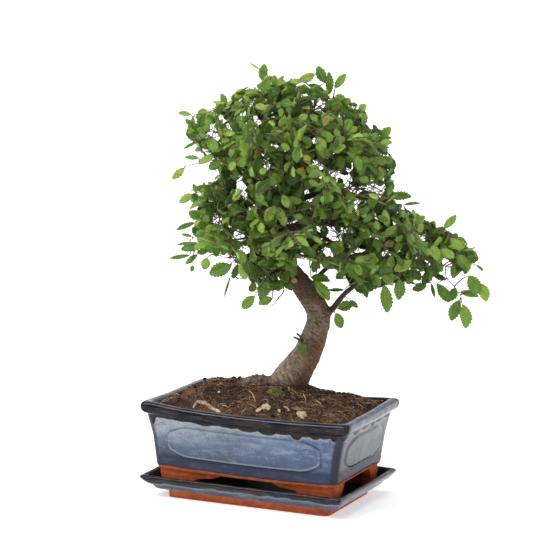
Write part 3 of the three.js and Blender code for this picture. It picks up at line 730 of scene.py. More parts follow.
def panel_distance(u, v, half_u, half_v):
    """Signed distance from the edge of a panel with cut and eased corners, negative inside."""
    du, dv = np.abs(u) - half_u, np.abs(v) - half_v
    cut_u, cut_v = PANEL_CUT
    cut = (du * cut_v + dv * cut_u + cut_u * cut_v) / math.hypot(cut_u, cut_v)

    def eased(a, b, ease):
        blend = np.clip(0.5 + 0.5 * (a - b) / ease, 0, 1)
        return b * (1 - blend) + a * blend + ease * blend * (1 - blend)

    return eased(eased(du, dv, 1.0), cut, 3.0) - 0.3


def wall_sides(points, half_x, half_y):
    """Side number of each point, 0 front, 1 right, 2 back, 3 left, and its place along that side."""
    x, y = points[..., 0], points[..., 1]
    long_side = (half_y - np.abs(y)) < (half_x - np.abs(x))
    side = np.where(long_side, np.where(y < 0, 0, 2), np.where(x > 0, 1, 3))
    return side, np.where(long_side, x, y)


def bow(x):
    """Shape of the sag of a long side along X."""
    return np.maximum(0, 1 - ((x - 6) / 96) ** 2)


# Up the outside and down the inside of the pot: half length, half depth, corner radius, height
POT_OUTSIDE = [
    (87.4, 54, 6, POT_WALL_BASE), (89.0, 55.6, 7, POT_WALL_BASE + 2.6), (89.6, 56, 7, WALL_LOW_Z),
    (92.6, 57, 8, 58), (97.4, 58.6, 8, WALL_HIGH_Z), (100.9, 60.6, 4, 78.4), (102.5, 61.8, 3.5, 81),
    (102.5, 61.8, 3.5, 85), (101.1, 60.4, 4, 87.2), (98.1, 57.4, 5, POT_TOP), (95.1, 54.4, 6, 87.2),
    (93.6, 52.9, 6, 84.6), (91.6, 52, 6, 78),
]
POT_INSIDE = [(88, 50.8, 6, 62), (83.4, 49.2, 5, 43), (81, 46.8, 5, POT_FLOOR)]
POT_SAG = 2.1
POT_WOBBLE = 0.22
RAISED_CORNERS = 1.5
OUTWARD = np.array([(0, -1, 0), (1, 0, 0), (0, 1, 0), (-1, 0, 0)], float)


def lip_runs(side, run):
    """How far the lip's dark glaze runs down at each point."""
    reach = np.zeros(side.shape)
    for number in range(4):
        for at, depth, width in runs_on_side(number):
            drop = depth * np.maximum(0, 1 - ((run - at) / width) ** 2) ** 0.8
            reach = np.maximum(reach, np.where(side == number, drop, 0))
    return reach


def pot_shape():
    """The pot's walls and lip, with a raised panel on each side and the sag of the kiln."""
    profile = np.concatenate([rounded_profile(POT_OUTSIDE, 1.4, 0.95), np.array(POT_INSIDE, float)])
    points = vessel_points(profile)
    rings, count = points.shape[:2]
    half_x, half_y, radius = profile[:, :3].T[..., None]
    x, y, z = np.moveaxis(points, -1, 0)
    is_outer = np.arange(rings)[:, None] <= int(np.argmax(profile[:, 3]))
    level = (z - WALL_LOW_Z) / (WALL_HIGH_Z - WALL_LOW_Z)
    side, run = wall_sides(points, half_x, half_y)
    short_side = side % 2

    on_wall = is_outer & (z > WALL_LOW_Z - 1) & (z < WALL_HIGH_Z + 1)
    half = np.where(short_side == 0, PANEL_HALF[0], PANEL_HALF[1])
    panel = np.where(on_wall, panel_distance(run, z - PANEL_MIDDLE, half, PANEL_HALF_TALL), NO_PANEL)
    lift = PANEL_PROUD * smoothstep(0.9, -0.7, panel) - 0.45 * peak(panel, 1.5, 0.8)
    panel_low = smoothstep(0, 1, (PANEL_MIDDLE + 2 - z) / PANEL_HALF_TALL)
    drip = np.where(is_outer, z - (WALL_HIGH_Z - 1.6 - lip_runs(side, run)), NO_PANEL)
    points = points + OUTWARD[side] * (lift * (panel < NO_PANEL))[..., None]

    x, y, z = np.moveaxis(points, -1, 0)
    at_corner = (np.abs(x) > half_x - radius) & (np.abs(y) > half_y - radius * 0.62)
    corner = at_corner & (z < WALL_HIGH_Z)
    wobble = lumps(points, 34.0, 2, 3.0)
    away = points * (1, 1, 0)
    away /= np.linalg.norm(away, axis=-1, keepdims=True)
    points = points + away * (POT_WOBBLE * wobble * is_outer)[..., None]

    x, y, z = np.moveaxis(points, -1, 0)
    lip = smoothstep(WALL_HIGH_Z - 1, WALL_HIGH_Z + 1, z)
    bare = smoothstep(POT_WALL_BASE + 3.2, POT_WALL_BASE + 2.0, z + 0.35 * wobble) * is_outer
    # painted reflection on the short sides' lip, and a pale top of the lip, partly thin glaze and partly
    # painted highlight
    reflected_side = lip * short_side * smoothstep(58, 51, np.abs(run)) * 0.8
    pale = np.clip(0.5 * smoothstep(87.2, 87.8, z) + reflected_side, 0, 1)
    sag = POT_SAG * bow(x) * smoothstep(30, 50, np.abs(y))
    z -= sag * (1 + 0.35 * smoothstep(WALL_HIGH_Z, 86, z))
    x -= 0.016 * np.maximum(0, -x) * (1 - lip)
    far_right = smoothstep(30, 100, x) * smoothstep(0, 55, y)
    near_left = smoothstep(-55, -100, x) * smoothstep(0, -55, y)
    z += RAISED_CORNERS * (far_right + near_left) * smoothstep(WALL_HIGH_Z - 6, 84, z)
    # the inner wall below the rim is painted dark as shade
    inside = smoothstep(86.6, 85, z) * ~is_outer
    shape = Shape()
    # grey paints a reflection on the short sides below the lip
    shape.add(points, ring_faces(rings, count), level=level, panel=panel, panel_low=panel_low, drip=drip,
              corner=corner, lip=lip, bare=bare, pale=pale, grey=short_side * (1 - lip), inside=inside)
    add_floor(shape, points[0, :, :2], points[-1, :, :2])
    return shape


CLAY = {"bare": 1.0, "panel": NO_PANEL, "drip": -NO_PANEL}
DRAIN_STEPS = 28


def add_floor(shape, under, inside):
    """The pot's floor with its two drain holes: flat above and below, with round walls between."""
    turn = np.arange(DRAIN_STEPS) * 2 * math.pi / DRAIN_STEPS
    hole = np.column_stack([np.cos(turn), np.sin(turn)]) * DRAIN_RADIUS
    holes = [hole + (x, 0) for x in (-DRAIN_X, DRAIN_X)]
    for rim, z, upward in ((under, POT_WALL_BASE, False), (inside, POT_FLOOR, True)):
        loops = [rim, *holes]
        shape.add(at_height(np.concatenate(loops), z), flat_faces(loops, upward), **CLAY)
    for loop in holes:
        rings = [at_height(loop, z) for z in (POT_WALL_BASE, POT_FLOOR)]
        faces = [face[::-1] for face in ring_faces(2, DRAIN_STEPS)]
        shape.add(np.concatenate(rings), faces, **CLAY)


FOOT_OUTER = (85.0, 51.4)
FOOT_ALONG = (64.0, 23.0)
FOOT_WIDTH = 12.0
FOOT_CHAMFER = 3.0

# How much further out along the pot the feet on the right and on the left stand
FOOT_OUT = {1: 1.5, -1: 2.4}

# From a foot's sole up into the pot: height, how far its two free ends are cut back, how much narrower it is
FOOT_STAGES = [
    (TRAY_FLOOR + 0.3, 30, 8, 1.2), (14, 29, 7, 0.8), (18.5, 28, 6, 0.5), (20.2, 25, 4, 0.3),
    (21.2, 18, 3.6, 0.1), (22.4, 9, 3, 0), (24.5, 4, 1.6, 0), (POT_WALL_BASE - 0.4, 0, 0, 0),
    (POT_WALL_BASE + 1.6, 0, 0, 0),
]


def foot_outline(short_x, short_y, inset):
    """L-shaped outline of the foot in the back right corner."""
    x, y = FOOT_OUTER[0] - inset, FOOT_OUTER[1] - inset
    inner_x, inner_y = FOOT_OUTER[0] - FOOT_WIDTH + inset, FOOT_OUTER[1] - FOOT_WIDTH + inset
    end_x, end_y = FOOT_OUTER[0] - FOOT_ALONG[0] + short_x, FOOT_OUTER[1] - FOOT_ALONG[1] + short_y
    return [(x, end_y), (x, y - FOOT_CHAMFER), (x - FOOT_CHAMFER, y), (end_x, y), (end_x, inner_y),
            (inner_x, inner_y), (inner_x, end_y)]


def add_feet(shape):
    """Four corner feet of bare clay with rounded edges."""
    for sign_x, sign_y in ((1, 1), (1, -1), (-1, 1), (-1, -1)):
        foot = bmesh.new()
        rings = []
        for z, short_x, short_y, inset in FOOT_STAGES:
            rings.append([foot.verts.new((sign_x * (x + FOOT_OUT[sign_x]), sign_y * y, z))
                          for x, y in foot_outline(short_x, short_y, inset)])
        for low, high in zip(rings[:-1], rings[1:]):
            for index in range(len(low)):
                after = (index + 1) % len(low)
                foot.faces.new((low[index], low[after], high[after], high[index]))
        foot.faces.new(rings[0])
        foot.faces.new(rings[-1])
        bmesh.ops.recalc_face_normals(foot, faces=foot.faces)
        sharp = [edge for edge in foot.edges if edge.calc_face_angle(0) > 0.5]
        bmesh.ops.bevel(foot, geom=sharp, offset=0.9, segments=2, affect="EDGES", profile=0.6)
        foot.verts.index_update()
        shape.add(*drawn(foot), **CLAY)


def tray_shape():
    """The drip tray: a bare foot slab, a flared wall and lip with ragged glaze, and a shallow inside."""
    lip_x, lip_y = TRAY_HALF
    foot_x, foot_y = TRAY_FOOT_HALF
    profile = rounded_profile([
        (foot_x, foot_y, 7, 0), (foot_x + 0.4, foot_y + 0.4, 7, 6.5), (lip_x - 10, lip_y - 9.4, 6, 8.6),
        (lip_x - 7.6, lip_y - 7.2, 6, 12), (lip_x - 4.2, lip_y - 4, 5, 14.2), (lip_x - 1, lip_y - 1, 4, 18),
        (lip_x, lip_y, 3.5, 19.6), (lip_x - 0.3, lip_y - 0.3, 3.5, 21.2), (lip_x - 2.2, lip_y - 2.2, 4, 22),
        (lip_x - 4.6, lip_y - 4.6, 6, 21.2), (lip_x - 9, lip_y - 8.6, 7, 12),
        (lip_x - 11.6, lip_y - 11, 6, TRAY_FLOOR),
    ], 0.9, 1.9)
    points = vessel_points(profile)
    rings, count = points.shape[:2]
    x, _, z = np.moveaxis(points, -1, 0)
    uneven = 0.3 * lumps(points, 26.0, 2, 8.0) + 0.3 * lumps(points * (1, 1, 0.3), 11.0, 3, 9.0)
    z += uneven * smoothstep(6, 12, z)
    x -= 0.024 * np.maximum(0, -x)
    side, _ = wall_sides(points, profile[:, None, 0], profile[:, None, 1])
    inside = np.broadcast_to((np.arange(rings) > np.argmax(profile[:, 3]))[:, None], side.shape)

    # glaze on the outside from the lip down, broken by waves; the foot slab is bare; the short sides' lip is
    # pale as a painted reflection and the inside is painted dark as shade
    ragged = 2.4 * lumps(points * (1, 1, 0.4), 17.0, 3, 5.0)
    shape = Shape()
    shape.add(points, ring_faces(rings, count), panel=NO_PANEL, inside=inside,
              level=np.where(inside, 0.2, 0.06 + 0.010 * z), lip=np.where(z > 12, 1.0, 0.3),
              drip=np.where(inside, ragged + 0.5, z - 15.4 + ragged),
              bare=smoothstep(8.4, 6.2, z) * ~inside, pale=side % 2 * 0.5 * smoothstep(16, 19, z))
    under, floor = points[0, :, :2], points[-1, :, :2]
    shape.add(at_height(under, 0), flat_faces([under], False), bare=1.0, panel=NO_PANEL)
    shape.add(points[-1], flat_faces([floor], True), level=0.3, panel=NO_PANEL, drip=-1.0,
              lip=1.0, inside=1.0)
    return shape


WELD_MM = 0.01


def welded(piece):
    """Joins the points that lie on one another, so that the surface is closed."""
    made = bmesh.new()
    made.from_mesh(piece.data)
    bmesh.ops.remove_doubles(made, verts=made.verts, dist=WELD_MM * MM)
    made.to_mesh(piece.data)
    made.free()
    return piece


pot = pot_shape()
add_feet(pot)
settle(welded(build("glazed_pot", pot, [GLAZE])), "glaze", "pot")
settle(welded(build("glazed_drip_tray", tray_shape(), [GLAZE])), "glaze", "drip_tray")
for node in ("drain_screen_left", "drain_screen_right"):
    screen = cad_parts[node].data
    screen.materials.clear()
    screen.materials.append(SCREEN)


# Soil

SOIL_GRID = (164, 94)
SOIL_CORNER = 6.0
SOIL_SAG = 2.8
SOIL_LOW_BEHIND = 2.6

# Hollows beside the bare root and round the trunk: depth, x, y, width along x and along y
SOIL_HOLLOWS = [(3.2, -17, 4, 17, 8), (1.6, 17, 17, 13, 9)]

# Places painted dark as shade, in the tree's frame and in the same terms, with how dark they are first
SOIL_SHADE = [(1.0, 21, 7, 20, 12), (0.55, -13, 12, 17, 7), (0.38, -35, 2, 9, 22), (0.25, 20, -14, 34, 20)]

# Down the sides of the soil: how much narrower it is, and how far below its edge
SOIL_SIDES = [(1.0, 0.6), (0.98, 7), (0.93, 26), (0.885, 41), (0.87, 44.0)]


def soil_height(x, y):
    half_x, half_y = SOIL_HALF
    edge = (1 - np.minimum(1, np.abs(x / half_x)) ** 6) * (1 - np.minimum(1, np.abs(y / half_y)) ** 6)
    front = 1 - 0.3 * np.maximum(0, -y / half_y)
    right = 1 - 0.4 * np.clip((x - 8) / 25, 0, 1)
    height = SOIL_EDGE + SOIL_RISE * edge * front * right - SOIL_SAG * bow(x) * smoothstep(-18, -48, y)
    height = height - SOIL_LOW_BEHIND * peak(x, -55, 26) * smoothstep(-25, 5, y)
    for depth, *place in SOIL_HOLLOWS:
        height = height - depth * hill(x, y, *place)
    return height


def soil_ripple(x, y):
    """Crumbs and hollows on top of the mound, in millimetres, lower near the pot's rim."""
    points = np.stack([x, y, np.zeros_like(x)], -1)
    coarse = lumps(points, 11.0, 3, 1.0)
    crumbs = np.abs(lumps(points, 3.2, 3, 2.0))
    calm = smoothstep(1.0, 0.9, np.maximum(np.abs(x) / SOIL_HALF[0], np.abs(y) / SOIL_HALF[1]))
    return (1.5 * coarse + 2.2 * (0.35 - crumbs)) * calm - 0.3 * (1 - calm)


def ground(x, y):
    return float(soil_height(x, y) + soil_ripple(x, y))


def soil_shape():
    """The mound of peat with its sides and its flat underside."""
    columns, rows = SOIL_GRID
    half_x, half_y = SOIL_HALF[0] - 0.2, SOIL_HALF[1] - 0.2
    across, back = np.linspace(-half_x, half_x, columns), np.linspace(-half_y, half_y, rows)
    x, y = np.meshgrid(across, back, indexing="ij")
    corner_x = np.maximum(np.abs(x) - (half_x - SOIL_CORNER), 0)
    corner_y = np.maximum(np.abs(y) - (half_y - SOIL_CORNER), 0)
    reach = np.hypot(corner_x, corner_y)
    scale = np.where(reach > 0, np.maximum(corner_x, corner_y) / np.maximum(reach, 1e-9), 1)
    x = np.sign(x) * (np.abs(x) - corner_x * (1 - scale))
    y = np.sign(y) * (np.abs(y) - corner_y * (1 - scale))
    ripple = soil_ripple(x, y)
    points = np.stack([x, y, soil_height(x, y) + ripple], -1).reshape(-1, 3)
    index = np.arange(columns * rows).reshape(columns, rows)
    faces = np.stack([index[:-1, :-1], index[1:, :-1], index[1:, 1:], index[:-1, 1:]], -1).reshape(-1, 4)
    # deep darkens the soil as painted shade: in the ripple's hollows, at the shade places and on the hidden
    # sides
    shade = sum(amount * hill(*in_tree(x, y), *place) for amount, *place in SOIL_SHADE)
    shape = Shape()
    shape.add(points, faces.tolist(), deep=np.clip(smoothstep(0.2, -1.6, ripple) + shade, 0, 1), tint=-0.005)
    top = points[np.concatenate([index[:, 0], index[-1, 1:], index[-2::-1, -1], index[0, -2:0:-1]])]
    rings = [top]
    for share, drop in SOIL_SIDES:
        flat = top[:, :2] * (share, share * 0.5 + 0.5)
        rings.append(at_height(flat, SOIL_EDGE - drop))
    faces = [face[::-1] for face in ring_faces(len(rings), len(top))]
    faces.append(tuple((len(rings) - 1) * len(top) + side for side in range(len(top)))[::-1])
    shape.add(np.concatenate(rings), faces, deep=0.5)
    return shape


settle(welded(build("peat_soil", soil_shape(), [PEAT])), "peat", "soil")


def lump_points(size, seed, finer=False):
    """A small irregular lump about the origin."""
    made = bmesh.new()
    bmesh.ops.create_icosphere(made, subdivisions=2 if finer else 1, radius=size)
    points, faces = drawn(made)
    points = points * (1 + 0.45 * lumps(points, size * 1.1, 2, seed))[:, None]
    return points * (1.0, 0.8, 0.6), faces


def turned(points, spin, tilt=0.0):
    turn = np.array(Matrix.Rotation(spin, 3, "Z") @ Matrix.Rotation(tilt, 3, "X"))
    return points @ turn.T


# In the tree's frame: the trunk's foot and its reach, and the bare root's ends, middle and half width
TRUNK_FOOT = (17, 24)
TRUNK_FOOT_REACH = 17
BARE_ROOT_ENDS = (-42, 8)
BARE_ROOT_Y = 21
BARE_ROOT_HALF = 6


def free_of_trunk(x, y):
    """False where the trunk or the bare root leaves no soil in sight."""
    tree = in_tree(x, y)
    in_trunk = math.dist(tree, TRUNK_FOOT) < TRUNK_FOOT_REACH
    on_root = BARE_ROOT_ENDS[0] < tree[0] < BARE_ROOT_ENDS[1] and abs(tree[1] - BARE_ROOT_Y) < BARE_ROOT_HALF
    return not (in_trunk or on_root)


def scattered_place():
    while True:
        x = rng.uniform(-0.96, 0.96) * SOIL_HALF[0]
        y = rng.uniform(-0.95, 0.95) * SOIL_HALF[1]
        if free_of_trunk(x, y):
            return x, y


CRUMBS = 1900
CLODS = 70
FIBRES = 1100
CHIPS = 60
FIBRE_TINTS = [0.0, 0.06, 0.12, 0.18, 0.28, 0.36]


def add_fibre(shape):
    """A thin bent fibre that touches the soil at both ends."""
    x, y = scattered_place()
    length = 2.5 + 8.5 * rng.random() ** 1.6
    way = rng.gauss(0.05, 0.75)
    along, aside = np.array([math.cos(way), math.sin(way)]), np.array([-math.sin(way), math.cos(way)])
    bend = rng.uniform(-0.35, 0.35)
    lift = rng.uniform(0.2, 1.3)
    inner = np.array(SOIL_HALF) - 2
    keys = []
    for t in (-0.5, 0.0, 0.5):
        at = np.array([x, y]) + length * t * along + bend * length * (t * t) * aside
        at = np.clip(at, -inner, inner)
        keys.append((*at, ground(*at) + lift * (1 - 3 * t * t)))
    thick = rng.uniform(0.13, 0.32)
    points, faces, _ = tube(spline(keys, 2), np.full(5, thick), 3)
    shape.add(points, faces, tint=rng.choice(FIBRE_TINTS) + rng.uniform(-0.05, 0.05))


def peat_details():
    """Crumbs, clods, fibres and chips that lie on the soil."""
    shape = Shape()

    def lay(lump, x, y, lift, tint):
        points, faces = lump
        shape.add(points + (x, y, ground(x, y) + lift), faces, tint=tint)

    kinds = [lump_points(1.0, seed) for seed in range(8)]
    for _ in range(CRUMBS):
        x, y = scattered_place()
        size = 0.38 + 1.1 * rng.random() ** 2.8
        points, faces = rng.choice(kinds)
        points = turned(points * size, rng.uniform(0, FULL_TURN), rng.uniform(-0.4, 0.4))
        lay((points, faces), x, y, 0.25 * size, rng.uniform(-0.24, 0.14))
    for _ in range(CLODS):
        x, y = scattered_place()
        size = rng.uniform(1.6, 2.7)
        points, faces = lump_points(size, rng.uniform(0, 90), True)
        points = turned(points, rng.uniform(0, FULL_TURN))
        lay((points, faces), x, y, 0.1 * size, rng.uniform(-0.14, 0.02))
    for _ in range(FIBRES):
        add_fibre(shape)
    for _ in range(CHIPS):
        x, y = scattered_place()
        points, faces = lump_points(rng.uniform(0.7, 1.6), rng.uniform(0, 90))
        points = turned(points * (1.3, 0.7, 0.35), rng.uniform(0, FULL_TURN), rng.uniform(0, 0.7))
        lay((points, faces), x, y, 0.7, rng.uniform(0.22, 0.42))
    return shape


settle(build("peat_crumbs_and_fibres", peat_details(), [PEAT]), "peat")


# Wood

VOXEL_MM = 1.05
TRUNK_SIDES, ROOT_SIDES, BRANCH_SIDES, STUB_SIDES = 40, 20, 12, 16
THINNEST_TRUNK = 4.5
LIMBS_APART = 137.0
ROOT_TOP_Z = 108.0
STUB_START = np.array([23.5, 17, 196.5])
STUB_WAY = unit(np.array([-0.25, -0.9, 0.12]))
STUB_TIP = STUB_START + STUB_WAY * 12.5
STUB_RADIUS = 3.0


def limb_lines():
    """Trunk, roots and branches as fine lines of place and radius in the tree's frame."""
    lines = [spline(keys, 12) for keys in (TRUNK, *ROOTS)]
    for route, radius, _, _ in BRANCHES:
        radii = radius + (BRANCH_TIP_RADIUS - radius) * np.linspace(0, 1, len(route))
        lines.append(spline(np.column_stack([route, radii]), 14))
    return lines


def wood_piece(lines):
    """Trunk, roots, branches and a pruned stub grown together."""
    raw = Shape()
    sides = [TRUNK_SIDES] + [ROOT_SIDES] * len(ROOTS) + [BRANCH_SIDES] * len(BRANCHES)
    for line, count in zip(lines, sides):
        raw.add(*tube(line[:, :3], line[:, 3], count)[:2])
    raw.add(*tube(np.linspace(STUB_START, STUB_TIP, 4), [STUB_RADIUS] * 4, STUB_SIDES)[:2])
    piece = build("bark_wood", raw, [BARK, CUT_WOOD])
    remesh = piece.modifiers.new("grown together", "REMESH")
    remesh.mode = "VOXEL"
    remesh.voxel_size = VOXEL_MM * MM
    remesh.use_smooth_shade = True
    ease = piece.modifiers.new("eased joins", "SMOOTH")
    ease.iterations = 2
    ease.factor = 0.5
    mesh = bpy.data.meshes.new_from_object(piece.evaluated_get(bpy.context.evaluated_depsgraph_get()))
    piece.modifiers.clear()
    piece.data = mesh
    return piece


def nearest_sample(points, centres, radii):
    """For each point, the sample of a limb whose surface is nearest."""
    centres, radii = centres.astype(np.float32), radii.astype(np.float32)
    block = 4000
    owner = np.zeros(len(points), np.int64)
    for start in range(0, len(points), block):
        some = points[start:start + block].astype(np.float32)
        gap = np.linalg.norm(some[:, None] - centres[None], axis=2) - radii[None]
        owner[start:start + block] = np.argmin(gap, axis=1)
    return owner


def mesh_vectors(mesh, kind):
    values = np.empty(len(mesh.vertices) * 3, np.float32)
    mesh.vertices.foreach_get(kind, values)
    return values.reshape(-1, 3).astype(float)


def dress_wood(piece, lines):
    """Small lumps on the wood, the numbers its bark is drawn by, and the turn into the row frame."""
    mesh = piece.data
    points, normal = mesh_vectors(mesh, "co") / MM, mesh_vectors(mesh, "normal")
    ways, runs = [], []
    for line in lines:
        way = np.gradient(line[:, :3], axis=0)
        ways.append(way / np.linalg.norm(way, axis=1)[:, None])
        steps = np.linalg.norm(np.diff(line[:, :3], axis=0), axis=1)
        runs.append(np.concatenate([[0], np.cumsum(steps)]) + LIMBS_APART * len(runs))
    samples, ways, runs = np.concatenate(lines), np.concatenate(ways), np.concatenate(runs)
    owner = nearest_sample(points, samples[:, :3], samples[:, 3])
    radius, way = samples[owner, 3], ways[owner]
    offset = points - samples[owner, :3]
    along = np.einsum("ij,ij->i", offset, way)
    run = runs[owner] + along
    offset -= way * along[:, None]

    share = np.clip(radius / 9, 0.1, 1)
    across = offset[:, :2] * 0.16
    wrinkle = lumps(np.column_stack([across, run * 0.75]) + offset[:, 2:] * 0.05, 1.0, 3, 6.0)
    on_ridge = smoothstep(2, -6, points[:, 0]) * (points[:, 2] < 112)
    knots = np.maximum(0, lumps(points, 7.0, 2, 9.0) - 0.25) * (1 + 2.4 * on_ridge)
    swell = share * (0.55 * lumps(points, 15.0, 2, 4.0) + 0.42 * wrinkle + 1.0 * knots)
    points += normal * swell[:, None]
    points += normal * (on_ridge * 2.2 * lumps(points, 3.6, 2, 30.0))[:, None]

    # the sun side is pale, as painted light; orange flakes lie on the elbow and the upper bend, and more on
    # the shaded right, where they partly stand for painted shade
    x, y, z = points.T
    trunk_like = radius > THINNEST_TRUNK
    right = np.clip(offset[:, 0] / np.maximum(radius, 1) + 0.1, -1, 1)
    orange = 0.10 + 0.45 * right
    orange += 0.5 * peak(z, 180, 11) + 0.45 * peak(z, 136, 8)
    orange += 0.6 * peak(z, 118, 24) * smoothstep(-0.35, 0.45, right)
    orange = np.clip(orange, 0, 1) * trunk_like
    pale = np.clip(0.30 - 0.85 * right + 0.4 * lumps(points, 20.0, 2, 12.0), 0, 1) * trunk_like
    pale *= smoothstep(176, 150, z)
    # painted shade: the trunk's foot, the trunk under the crown and the bare root's low side are darkened;
    # the thin limbs are darker too
    foot = smoothstep(ROOT_TOP_Z, 99, z) * (np.hypot(x - TRUNK_FOOT[0], y - TRUNK_FOOT[1]) < 24)
    dark = np.clip(0.9 * foot + 0.55 * smoothstep(5, 2.5, radius), 0, 1)
    dark = np.maximum(dark, smoothstep(168, 188, z) * (0.78 + 0.4 * lumps(points, 9.0, 2, 21.0)))
    on_root = (z < ROOT_TOP_Z) & (x < 0)
    pale = np.where(on_root, 0.8, pale)
    dark = np.where(on_root, 0.38 + 0.6 * smoothstep(102, 97.5, z) + 0.5 * lumps(points, 6.0, 2, 22.0), dark)
    mesh.vertices.foreach_set("co", (to_row(points) * MM).astype(np.float32).ravel())
    set_numbers(mesh, {
        "across_a": offset[:, 0], "across_b": offset[:, 1] + 0.7 * offset[:, 2], "along": run,
        "orange": orange, "pale": pale, "dark": np.clip(dark, 0, 1),
    })
    mesh.update()


def paint_stub(mesh):
    """The flat end of the pruned stub shows wood, not bark."""
    tip, facing = to_row(STUB_TIP), to_row(STUB_WAY)
    for polygon in mesh.polygons:
        off = np.array(polygon.center) / MM - tip
        if np.linalg.norm(off) < STUB_RADIUS + 1.2 and off @ facing > -0.9:
            if np.array(polygon.normal) @ facing > 0.75:
                polygon.material_index = 1


limbs = limb_lines()
wood = wood_piece(limbs)
dress_wood(wood, limbs)
paint_stub(wood.data)
settle(wood, "bark", "trunk_and_branches")


# Leaves

ACROSS = np.array([-1.0, -0.52, 0.0, 0.52, 1.0])


class LeafPattern:
    """The faces and the even outline of a leaf with a given number of stations along it."""

    def __init__(self, stations):
        across = len(ACROSS)
        upper = np.arange(stations * across).reshape(stations, across)
        lower = upper.copy()
        inner = (stations - 2, across - 2)
        lower[1:-1, 1:-1] = upper.size + np.arange(inner[0] * inner[1]).reshape(inner)
        self.faces = []
        for row in range(stations - 1):
            for column in range(across - 1):
                corners = [(row, column), (row + 1, column), (row + 1, column + 1), (row, column + 1)]
                self.faces.append(tuple(int(upper[corner]) for corner in corners))
                self.faces.append(tuple(int(lower[corner]) for corner in corners[::-1]))
        self.v = np.linspace(0, 1, stations)
        self.half_width = np.maximum(0.06, (3.9 * self.v ** 0.95 * (1 - self.v ** 1.25)) ** 0.78)
        self.half_width[-1] = 0.04
        self.teeth = np.where(np.arange(stations) % 2 == 0, 1.08, 0.86)


SMALL_LEAF = LeafPattern(10)
LARGE_LEAF = LeafPattern(16)
LARGE_LEAF_FROM = 16.0


def leaf_points(pattern, length, width, fold, curl, twist):
    """Points of one leaf and their numbers: x along it, y across, z up. The lower sheet is last."""
    v, u = np.meshgrid(pattern.v, ACROSS, indexing="ij")
    rim = np.abs(u) > 0.9
    tooth = pattern.teeth[:, None]
    y = u * (0.5 * width * pattern.half_width[:, None] * np.where(rim, tooth, 1))
    x = v * length + np.where(rim, np.where(tooth > 1, 0.018, -0.012) * length, 0)
    x[0], x[-1] = 0, length
    z = np.abs(y) * math.tan(fold) - curl * length * v * v
    z += 0.05 * width * np.sin(v * 9 + 1.3) * u * u
    angle = twist * v
    y, z = y * np.cos(angle) - z * np.sin(angle), y * np.sin(angle) + z * np.cos(angle)
    upper = np.stack([x, y, z], -1)
    inner = (slice(1, -1), slice(1, -1))
    lower = upper[inner].copy()
    lower[..., 2] -= 0.32 * (1 - 0.6 * np.abs(u[inner]))
    points = np.concatenate([upper.reshape(-1, 3), lower.reshape(-1, 3)])
    numbers = {"leaf_u": np.append(u, u[inner]), "leaf_v": np.append(v, v[inner]),
               "under": np.append(np.where(rim, 0.5, 0.0), np.ones(u[inner].size))}
    return points, numbers


def put_points(points, base, way, facing):
    """Points placed at a base in the tree's frame, their x along way and z to facing, in the row frame."""
    axes = (way, np.cross(facing, way), facing)
    return to_row(base + sum(points[:, part:part + 1] * axis for part, axis in enumerate(axes)))


def put_leaf(shape, base, way, facing, length, tint, wide=0.6, dry=0.0):
    """Adds a leaf that grows from its base along way, with its upper side to facing."""
    way = unit(way)
    facing = squared_off(facing, way)
    pattern = LARGE_LEAF if length > LARGE_LEAF_FROM else SMALL_LEAF
    width = length * wide * rng.uniform(0.92, 1.08)
    points, numbers = leaf_points(pattern, length, width, rng.uniform(0.05, 0.42), rng.uniform(-0.06, 0.20),
                                  rng.uniform(-0.35, 0.35))
    shape.add(put_points(points, base, way, facing), pattern.faces, tint=tint, dry=dry, **numbers)


def put_twig(shape, line, thick, thin, sides=5, young=(0.0, 1.0)):
    """A twig along a line in the tree's frame."""
    line = np.asarray(line, float)
    points, faces, _ = tube(line, np.linspace(thick, thin, len(line)), sides)
    shape.add(to_row(points), faces, 1, young=np.repeat(np.linspace(*young, len(line)), sides))


def jitter(amount):
    return np.array([rng.uniform(-amount, amount) for _ in range(3)])


def sagging_line(start, direction, length, sag, steps, wander=0.0):
    line = []
    drift = jitter(wander)
    for step in range(steps + 1):
        s = step / steps
        line.append(start + direction * s * length - UP * sag * length * s * s + drift * s * s * length)
    return np.array(line)


def point_along(line, share):
    """Point and direction at this share of a line."""
    at = share * (len(line) - 1)
    low = min(int(at), len(line) - 2)
    step = line[low + 1] - line[low]
    return line[low] + step * (at - low), unit(step)


# The crown

# How the crown is pruned, as it is seen from the front and a little from above: to the right, and upwards
CROWN_OUTLINE = np.array([
    (-52, 217), (-67, 220), (-71, 232), (-70, 243), (-69, 255), (-70, 263), (-73, 270), (-74, 277),
    (-66, 283), (-50, 288), (-47, 296), (-58, 306), (-72, 312), (-77, 323), (-78, 333), (-76, 343),
    (-66, 350), (-51, 356), (-39, 360), (-29, 366), (-17, 371), (-9, 377), (0, 378), (10, 378), (20, 375),
    (31, 371), (42, 367), (54, 363), (66, 361), (76, 356), (83, 349), (86, 337), (95, 330), (104, 321),
    (107, 309), (110, 300), (109, 290), (108, 279), (113, 270), (119, 263), (128, 258), (139, 254),
    (148, 248), (158, 245), (169, 237), (180, 229), (187, 219), (188, 211), (182, 203), (170, 202),
    (163, 209), (155, 208), (147, 200), (136, 195), (126, 195), (117, 189), (108, 192), (100, 192), (91, 187),
    (82, 187), (74, 189), (67, 195), (62, 204), (54, 209), (45, 206), (38, 213), (30, 215), (25, 207),
    (20, 199), (14, 190), (6, 186), (-3, 184), (-11, 184), (-15, 191), (-20, 197), (-29, 203), (-37, 208),
    (-44, 214),
], float)
SEEN_FROM = math.radians(VIEW_ELEVATION)
CROWN_HEART = np.array([32.0, 12.0, 262.0])
CROWN_REACH = np.array([112.0, 62.0, 92.0])

